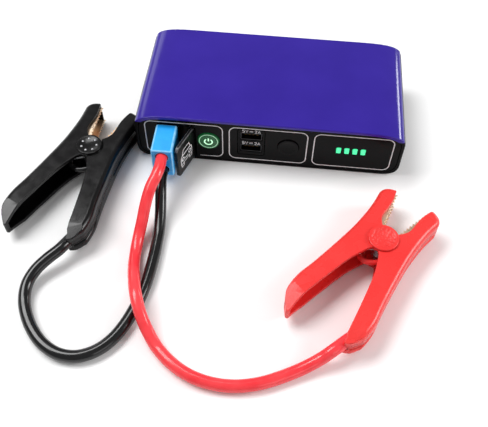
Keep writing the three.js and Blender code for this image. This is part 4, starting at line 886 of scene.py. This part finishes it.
BRIDGE_FEET = (-5.5, JAW_REAR_Y - 0.3), (-5.9, JAW_REAR_Y - 2.5)
BRIDGE_LOOP = in_clamp(
    (-0.1094, 0.0103), (-0.1135, -0.0568), (-0.0846, -0.1197), (-0.0258, -0.1404),
    (0.031, -0.1094), (0.064, -0.0578), (0.0826, -0.0041),
)


# What sets one grip apart from the other: its end, the wall there, how far its faces drop, the
# layers round the pivot that belong to the other half, and the heights of the spring's post.
FREE_GRIP = SimpleNamespace(
    end=in_clamp((-0.4159, -0.5366), (-0.386, -0.6171), (-0.3705, -0.6171)),
    end_wall=GRIP_WALL,
    drop=4.8,
    cleared=((GRIP_BASE + EAR_LAYER, HOLLOW_BASE + GAP), (HOLLOW_TOP - GAP, GRIP_TOP - EAR_LAYER)),
    post=(SPRING_TOP - 0.75, HOLLOW_TOP + GAP),
    mirrored=False,
)
LEAD_GRIP = SimpleNamespace(
    end=in_clamp(
        (-0.417, -0.506), (-0.4095, -0.541), (-0.396, -0.569), (-0.379, -0.5853),
        (-0.3633, -0.5934),
    ),
    end_wall=3.6,
    drop=4.0,
    cleared=((THROUGH[0], HOLLOW_BASE - EAR_LAYER), (HOLLOW_TOP + EAR_LAYER, THROUGH[1])),
    post=(HOLLOW_BASE - GAP, SPRING_BOTTOM + 0.75),
    mirrored=True,
)


def round_corner(a, corner, b, steps=12):
    return [a * (1 - t) ** 2 + corner * 2 * t * (1 - t) + b * t**2 for t in shares(steps)]


def curve_span(a, b, leaving, arriving, steps):
    """A curve from a up to b, by its directions at both."""
    bend, lean = 2 * a - 2 * b + leaving + arriving, -3 * a + 3 * b - 2 * leaving - arriving
    return [bend * t**3 + lean * t**2 + leaving * t + a for t in shares(steps)[:-1]]


def plain_spline(points):
    """A uniform Catmull-Rom curve in the plane, its two ends doubled."""
    ends = [points[0], *points, points[-1]]
    path = []
    for p0, p1, p2, p3 in zip(ends, ends[1:], ends[2:], ends[3:]):
        path += curve_span(p1, p2, (p2 - p0) / 2, (p3 - p1) / 2, 8)
    return [*path, points[-1]]


def inwards(line, distance):
    """A line in the plane moved to its left, with mitred corners."""
    moved = []
    for i, at in enumerate(line):
        near = line[max(i - 1, 0):i + 2]
        normals = [Vector((a.y - b.y, b.x - a.x)).normalized() for a, b in zip(near, near[1:])]
        middle = sum(normals, Vector((0, 0))).normalized()
        moved.append(at + middle * distance / max(0.4, middle.dot(normals[0])))
    return moved


def grip_back(grip):
    return plain_spline([*BACK_CURVE, *grip.end[:-1]])


def back_line(grip):
    """The outer side of a grip, from the top of its nose down to its tail."""
    return round_corner(NOSE_TOP, NOSE_OUTER, BACK_CURVE[0])[:-1] + grip_back(grip)


def grip_plan(grip):
    tip = round_corner(JAW_CURVE[4], NOSE_INNER, NOSE_TOP, 6)
    inner = plain_spline([grip.end[-1], *INNER_CURVE])
    ear = [Vector((-EAR_RADIUS / 4, side * 0.75 * EAR_RADIUS)) for side in (-1, 1)]
    return tip[:-1] + back_line(grip) + inner + ear + plain_spline(JAW_CURVE)[:-1]


def cutter(outline, z0, z1):
    return prism("cutter", outline, z0, z1, PLAIN)


def round_cutter(radius, z0, z1, sides=ROUND_SIDES):
    return cutter(disc(0, 0, radius, sides), z0, z1)


def rounded_back(grip):
    """The back and the nose with their edges rounded, left wide open on the inner side."""
    line = back_line(grip)
    line = [Vector((OPEN_SIDE, NOSE_TOP.y)), *line, Vector((OPEN_SIDE, line[-1].y))]
    turns = [QUARTER * share for share in shares(8)]
    round_off = [(GRIP_ROUND * (1 - math.sin(a)), GRIP_ROUND * (1 - math.cos(a))) for a in turns]
    levels = [(SKIN + inset, GRIP_BASE + rise) for inset, rise in round_off]
    levels += [(SKIN + inset, GRIP_TOP - rise) for inset, rise in reversed(round_off)]
    return loft("back", [[(*p, z) for p in inwards(line, inset)] for inset, z in levels])


def end_wedges(grip, inset):
    """Wedges that slope the faces of a grip down towards its end, `inset` inside its skin."""
    place = Matrix.Translation((*SLOPE_START, 0)) @ Matrix.Rotation(SLOPE_TURN, 4, "Z")
    for z, side in ((GRIP_TOP - inset, 1), (GRIP_BASE + inset, -1)):
        far = z + side * (GRIP_TOP - GRIP_BASE)
        low = z - side * 2 * grip.drop
        outline = [(0, z), (SLOPE_LENGTH, low), (SLOPE_LENGTH, far), (0, far)]
        yield prism("wedge", outline, -OPEN_SIDE, OPEN_SIDE, place @ FACING_FRONT)


def grip_hollow(grip):
    """The channel inside a grip: its back drawn one wall inwards, open on the inner side."""
    wall_y = grip.end[-1].y + grip.end_wall
    wall = [p for p in inwards(grip_back(grip), GRIP_WALL) if p.y > wall_y]
    front = JAW_FRONT_Y + GAP
    last = wall[-1]
    outline = [(OPEN_SIDE, front), (HOLLOW_FRONT_X, front), *wall]
    outline += [(last.x + (last.y - wall_y) / 2, wall_y), (OPEN_SIDE, wall_y)]
    hollow = cutter(outline, HOLLOW_BASE, HOLLOW_TOP)
    for wedge in end_wedges(grip, PLATE):
        carve(hollow, wedge)
    return hollow


def spring_post():
    """Place of the post beside the spring leg's end."""
    x, y = SPRING_LEG_END
    c, s = math.cos(SPRING_LEG_TURN), math.sin(SPRING_LEG_TURN)
    return x - c * POST_BACK + s * POST_ASIDE, y - s * POST_BACK - c * POST_ASIDE


def parting_grooves(grip):
    """Two thin bands along the back, which cut its parting grooves."""
    back = back_line(grip)[6:]
    outline = inwards(back, PARTING_DEPTH) + list(reversed(inwards(back, -1.0)))
    for side in (-1, 1):
        middle = PARTING_Z + side * PARTING_STEP / 2
        yield cutter(outline, middle - PARTING_WIDTH / 2, middle + PARTING_WIDTH / 2)


def bar(start, finish, radius):
    """A round bar from one point to another."""
    run = finish - start
    place = Matrix.Translation(start) @ run.to_track_quat("Z", "Y").to_matrix().to_4x4()
    profile = [(0, 0), (radius, 0), (radius, run.length), (0, run.length)]
    return spun("bar", profile, BORE_SIDES, place)


def clean_up(thing, place=PLAIN):
    """Joins the points and flat faces that cutting has left apart, then places the piece."""
    with editing(thing.data) as bm:
        bmesh.ops.remove_doubles(bm, verts=bm.verts, dist=CUT_TOUCHING)
        bmesh.ops.dissolve_limit(bm, angle_limit=CUT_FLAT, verts=bm.verts, edges=bm.edges)
        bmesh.ops.transform(bm, matrix=place, verts=bm.verts)
        face_outwards(bm)


def make_grip(clamp, part, grip, turn):
    """One grip: rounded back, hollow, sloped end, ear, spring post and, for a lead, its hole."""
    node = f"{clamp.side}_{part}"
    thing = prism(f"{node}_moulding", grip_plan(grip), GRIP_BASE, GRIP_TOP, PLAIN)
    carve(thing, round_cutter(EAR_RADIUS, GRIP_BASE, GRIP_TOP), "UNION")
    carve(thing, rounded_back(grip), "INTERSECT")
    carve(thing, grip_hollow(grip))
    for wedge in end_wedges(grip, 0):
        carve(thing, wedge)
    for z0, z1 in grip.cleared:
        carve(thing, round_cutter(EAR_RADIUS + GAP, z0, z1))
    carve(thing, round_cutter(PIN_HOLE, *THROUGH, BORE_SIDES))
    place = clamp.matrix(turn)
    if grip.mirrored:
        carve(thing, bar(*LEAD_HOLE))
        carve(thing, cutter(LEAD_NOTCH, *THROUGH))
        place = place @ Matrix.Diagonal((-1, 1, 1, 1))
    carve(thing, cutter(disc(*spring_post(), POST_RADIUS, 24), *grip.post), "UNION")
    clean_up(thing)
    soften_edges(thing, GRIP_EDGE, 3, 40)
    for band in parting_grooves(grip):
        carve(thing, band)
    clean_up(thing, place)
    level_flats(thing)
    finish_piece(thing, f"{clamp.side}_clamp", node)


CAP_RADIUS = {"red": 8.6, "black": 7.7}
# Each cap: heights of its face, of its skirt's end and of its blind hole, and the side it faces.
CAPS = (("cap_top", 20.4, 19.1, 19.95, 1), ("cap_bottom", 0.0, 1.3, 0.45, -1))
CAP_SUNK = 1.85  # from a cap's rim to its grained face
STUD_COUNT, STUD_CIRCLE, STUD_Z, STUD_RADIUS = 7, 4.7, 20.2, 0.85


def cap_profile(radius, top, bottom, hole, side):
    """Outline of a pin's cap: blind hole, skirt, round rim, shallow sunk face."""
    rim = [(radius - 0.5 + r, top - side * (0.5 - h)) for r, h in arc(0, 0, 0.5, 0, 90, 8)]
    drops = ((1.4, 0), (1.6, 0.06), (1.8, 0.2))
    inner = [(radius - inset, top - side * drop) for inset, drop in drops]
    skirt = [(0, hole), (PIN_HOLE, hole), (PIN_HOLE, bottom), (radius - 0.3, bottom)]
    return skirt + [(radius, bottom + side * 0.3)] + rim + inner + [(0, top - side * 0.2)]


def make_caps(clamp):
    """The pin's two caps, their sunk faces grained; the black clamp's has a ring of studs."""
    place = clamp.matrix(0)
    radius = CAP_RADIUS[clamp.side]
    for part, *heights in CAPS:
        node = f"{clamp.side}_{part}"
        cap = spun(f"{node}_disc", cap_profile(radius, *heights), ROUND_SIDES, place)
        finish_piece(cap, f"{clamp.side}_clamp", node)
        cap.data.materials.append(FINISHES[f"{clamp.side}_grain"].material)
        for face in cap.data.polygons:
            away = (face.center.xy - clamp.place.xy * MM).length
            if away < (radius - CAP_SUNK) * MM and abs(face.normal.z) > 0.9:
                face.material_index = 1
    if clamp is BLACK:
        ring = [Vector((*polar(STUD_CIRCLE, a), STUD_Z)) for a in once_round(STUD_COUNT)]
        studs = line_mesh("black_cap_studs", [place @ p for p in ring])
        STUDS.run(studs, "stud", Radius=STUD_RADIUS * MM)
        finish_piece(studs, "stud", body=NODES["black_cap_top"]["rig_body"])


# ---- wires and leads

SPRING_WIRE, BRIDGE_WIRE = 0.74, 1.58  # radii
SPRING_STEPS = 200
LEAD_DIAMETER = 7 * MM
LEAD_SKIN = 0.1 * MM  # the skin is drawn this much inside its solid
LEAD_LIFT = 0.02 * MM
LEAD_SIDES = 32

RED_ROUTE = (
    (-61.9, -59.3, 25), (-61.9, -65.5, 25), (-61.9, -69, 25), (-62.9, -75, 24.2),
    (-65.4, -82, 21.2), (-67.2, -90, 16.5), (-68.5, -99, 10), (-69.6, -108, 5.2),
    (-69.6, -117, 3.7), (-68.4, -126.5, 6), (-66, -136.5, 10), (-62.7, -147.5, 12.4),
    (-59, -156.5, 10.6), (-54.5, -164, 6.4), (-47.5, -173, 3.6), (-38.3, -181.2, 3.6),
    (-28, -186.9, 3.6), (-16, -189.9, 3.6), (-4, -190, 3.6), (8, -187.3, 3.6),
    (19, -182.6, 3.6), (29, -177.4, 4.2), (38, -172.2, 6.6),
)
BLACK_ROUTE = (
    (-61.9, -59.3, 14), (-61.9, -65.5, 14), (-61.9, -69, 14), (-61.2, -75, 12.9),
    (-60.3, -82, 10.2), (-59.3, -91, 6.6), (-58.7, -100, 4.2), (-58.6, -111, 3.6),
    (-58.9, -122, 3.6), (-59.7, -133, 3.6), (-61.2, -143, 3.6), (-63.7, -153, 3.6),
    (-67.3, -163, 3.6), (-72.4, -172, 3.6), (-79.5, -178.8, 3.6), (-88.5, -182.5, 3.6),
    (-98, -182, 3.6), (-107, -177.6, 3.6), (-114.5, -170.5, 3.6), (-120.6, -161.5, 3.6),
    (-124.3, -152.3, 4), (-124.8, -143.2, 5.4), (-121.6, -135.2, 7.4), (-116.6, -129, 9.2),
)
# The last stretch inside a grip, in the closed clamp's own frame, as it lies in the right half.
LEAD_IN_GRIP = (
    (34.8, -62, 10.4), (34.3, -54, 10), (33.6, -45.5, 9.6), (30.8, -37, 9.3),
    (26.2, -28.6, 9), (21, -18.2, 8.7), (16, -7.4, 8.4), (13.9, -2.2, 8.2),
)


def smooth_path(points, per_span):
    """A centripetal Catmull-Rom curve through the points."""
    ends = [points[0] * 2 - points[1]] + list(points) + [points[-1] * 2 - points[-2]]
    path = []
    for p0, p1, p2, p3 in zip(ends, ends[1:], ends[2:], ends[3:]):
        d1, d2, d3 = ((b - a).length ** 0.5 for a, b in ((p0, p1), (p1, p2), (p2, p3)))
        leaving = ((p1 - p0) / d1 - (p2 - p0) / (d1 + d2) + (p2 - p1) / d2) * d2
        arriving = ((p2 - p1) / d2 - (p3 - p1) / (d2 + d3) + (p3 - p2) / d3) * d2
        path += curve_span(p1, p2, leaving, arriving, per_span)
    return [*path, points[-1].copy()]


def spring_path(opening):
    """The spring's wire: a leg, four turns and a bit round the pin going down, and a leg."""
    start = SPRING_LEG_TURN + math.radians(opening / 2) + QUARTER
    finish = math.pi - start + 2 * math.pi * SPRING_TURNS

    def rim(angle, z, run):
        c, s = math.cos(angle), math.sin(angle)
        return Vector((SPRING_RADIUS * c - run * s, SPRING_RADIUS * s + run * c, z))

    coil = [
        rim(start + (finish - start) * t, SPRING_TOP + (SPRING_BOTTOM - SPRING_TOP) * t, 0)
        for t in shares(SPRING_STEPS)
    ]
    first = [rim(start, SPRING_TOP, run) for run in (-SPRING_LEG, -SPRING_LEG / 2)]
    return first + coil + [rim(finish, SPRING_BOTTOM, run) for run in (SPRING_LEG / 2, SPRING_LEG)]


def bridge_path(opening):
    """The wire that joins the two jaws, in a loop behind the pin."""
    turn = turned(opening / 2)
    start = [turn @ Vector((*at, PARTING_Z)) for at in BRIDGE_FEET]
    finish = [Vector((-at.x, at.y, at.z)) for at in reversed(start)]
    return smooth_path([*start, *(Vector((*at, PARTING_Z)) for at in BRIDGE_LOOP), *finish], 12)


def make_wires(clamp):
    """The spring round the pin and the wire from jaw to jaw, each shaped to the present opening
    between both halves.
    """
    place = clamp.matrix((clamp.free_turn + clamp.lead_turn) / 2)
    opening = clamp.lead_turn - clamp.free_turn
    for part, path, radius, finish in (
        ("spring", spring_path(opening), SPRING_WIRE, "steel"),
        ("bridge_wire", bridge_path(opening), BRIDGE_WIRE, f"bridge_{clamp.side}"),
    ):
        node = f"{clamp.side}_{part}"
        thing = line_mesh(f"{node}_round", [place @ p for p in path])
        ROUND_WIRE.run(thing, finish, Radius=radius * MM, Sides=20)
        tidy_shading(thing.data)
        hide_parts(node)
        sides = (place @ Vector((x, 0, PARTING_Z)) for x in (5, -5))
        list(sides)
        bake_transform(thing)


def tube(name, path, radius):
    """A closed tube along a path, with a UV map: along it in metres, and once round it."""
    rows, along = [], [0.0]
    side = (path[1] - path[0]).cross(UP)
    for i, at in enumerate(path):
        after = path[min(i + 1, len(path) - 1)]
        ahead = (after - path[max(i - 1, 0)]).normalized()
        side = (side - ahead * side.dot(ahead)).normalized()
        across = ahead.cross(side)
        turns = once_round(LEAD_SIDES)
        rows.append([at + (side * math.cos(a) + across * math.sin(a)) * radius for a in turns])
        along.append(along[-1] + (after - at).length)
    thing = loft(name, rows)
    thing.data.shade_smooth()
    layer = thing.data.uv_layers.new(name="along")
    for face in thing.data.polygons:
        seam = {vertex % LEAD_SIDES for vertex in face.vertices} == {0, LEAD_SIDES - 1}
        for corner, vertex in zip(face.loop_indices, face.vertices):
            turn = vertex % LEAD_SIDES or seam * LEAD_SIDES
            layer.data[corner].uv = along[vertex // LEAD_SIDES], turn / LEAD_SIDES
    return thing


def make_lead(clamp, route):
    """A lead from the plug's end to the crimped barrel in its grip."""
    points = [Vector(p) * MM for p in route]
    into_grip = clamp.matrix(clamp.lead_turn)
    points += [into_grip @ Vector(p) for p in LEAD_IN_GRIP]
    path = smooth_path(points, 8)
    for at in path:
        at.z = max(at.z, LEAD_DIAMETER / 2 + LEAD_LIFT)
    lead = tube(f"{clamp.side}_lead_cable", path, LEAD_DIAMETER / 2 - LEAD_SKIN)
    finish_piece(lead, f"{clamp.side}_cable", f"{clamp.side}_lead")
    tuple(points[0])
    round(sum((b - a).length for a, b in zip(path, path[1:])), 3)


# ---- assembly

CARRIED = {
    "steel": [f"case_screw_{i}" for i in range(1, 5)]
    + [f"{side}_{part}" for side in ("red", "black") for part in ("crimp", "pivot_pin")],
    "brass": ["contact_upper", "contact_lower", "plug_pin_upper", "plug_pin_lower"],
    "copper": ["busbar_upper", "busbar_lower"],
    "board": ["front_board", "start_board"],
    "foil": [f"battery_cell_{i}" for i in range(1, 4)],
    "relay_black": ["start_relay", "start_switch", "power_switch"],
}

finer("top_cover", "cover", 0.25, 4)
finer("lower_case", "black_gloss", 0.35)
finer("front_panel", "black_gloss", 0.25)
make_outlines()
make_buttons()
make_lamps()
make_outlets()
make_flap()
# The plug's broken edges are painted paler blue all round: a painted highlight.
paint_edge_highlights(finer("plug_housing", "blue_plastic", 0.35, 4), "blue_edge_highlight")
finer("start_socket", "black_matt", 0.2)
for clamp in (RED, BLACK):
    make_grip(clamp, "free_grip", FREE_GRIP, clamp.free_turn)
    make_grip(clamp, "lead_grip", LEAD_GRIP, clamp.lead_turn)
    make_caps(clamp)
    make_wires(clamp)
    for jaw in ("lead_jaw", "free_jaw"):
        finer(f"{clamp.side}_{jaw}", "copper", 0.12, 2, 25)
make_lead(RED, RED_ROUTE)
make_lead(BLACK, BLACK_ROUTE)

for finish, nodes in CARRIED.items():
    for node in nodes:
        dress(NODES[node], finish)


# ---- floor, light and backdrop

FLOOR_REACH = 4.0
SKY_STRENGTH = 0.38
# Each soft box: name, place, aim, width and height, watts, and its spin about the line of sight.
SOFT_BOXES = (
    ("overhead", (-0.64, 0.05, 0.955), (0, -0.08, 0), (0.66, 0.5), 8.8, -40),
    ("back_top", (-0.28, 0.3, 0.955), (0, -0.08, 0), (0.26, 0.3), 2.0, 0),
    ("right_side", (0.95, 0.02, 0.52), (0.05, -0.08, 0.01), (0.35, 0.5), 5.0, 0),
    ("right_back", (0.82, 0.69, 0.3), (0.08, -0.03, 0.02), (0.3, 0.11), 1.2, 0),
    ("left_back", (-0.65, 0.72, 0.34), (-0.05, 0, 0.02), (0.3, 0.25), 0.35, 0),
    ("front_fill", (0.55, -0.75, 0.36), (0, -0.1, 0.01), (0.5, 0.4), 0.9, 0),
)


def make_floor():
    """A wide pale floor that keeps the shadow and shows as white round it."""
    mesh = bpy.data.meshes.new("floor")
    corners = (-1, -1, 0), (1, -1, 0), (1, 1, 0), (-1, 1, 0)
    mesh.from_pydata([Vector(at) * FLOOR_REACH for at in corners], [], [(0, 1, 2, 3)])
    pale = Finish("floor", "pale_floor", (249, 249, 249), (252, 252, 252), 0.7, shine=0.2)
    mesh.materials.append(pale.mottled(200).material)
    add_object("floor", mesh)


def make_light():
    """An even pale world and the soft boxes in it."""
    world = bpy.data.worlds.new("studio")
    world.use_nodes = True
    sky = {"Color": (1, 1, 1, 1), "Strength": SKY_STRENGTH}
    connect(world.node_tree, world.node_tree.nodes["Background"], sky)
    bpy.context.scene.world = world
    for name, place, aim, size, power, spin in SOFT_BOXES:
        data = bpy.data.lights.new(name, "AREA")
        data.shape = "RECTANGLE"
        data.size, data.size_y = size
        data.energy = power
        lamp = add_object(name, data)
        lamp.location = place
        facing = (Vector(aim) - Vector(place)).to_track_quat("-Z", "Y")
        lamp.rotation_euler = (facing @ Quaternion(UP, math.radians(spin))).to_euler()


make_floor()
make_light()
bpy.context.scene.view_settings.view_transform = "Standard"
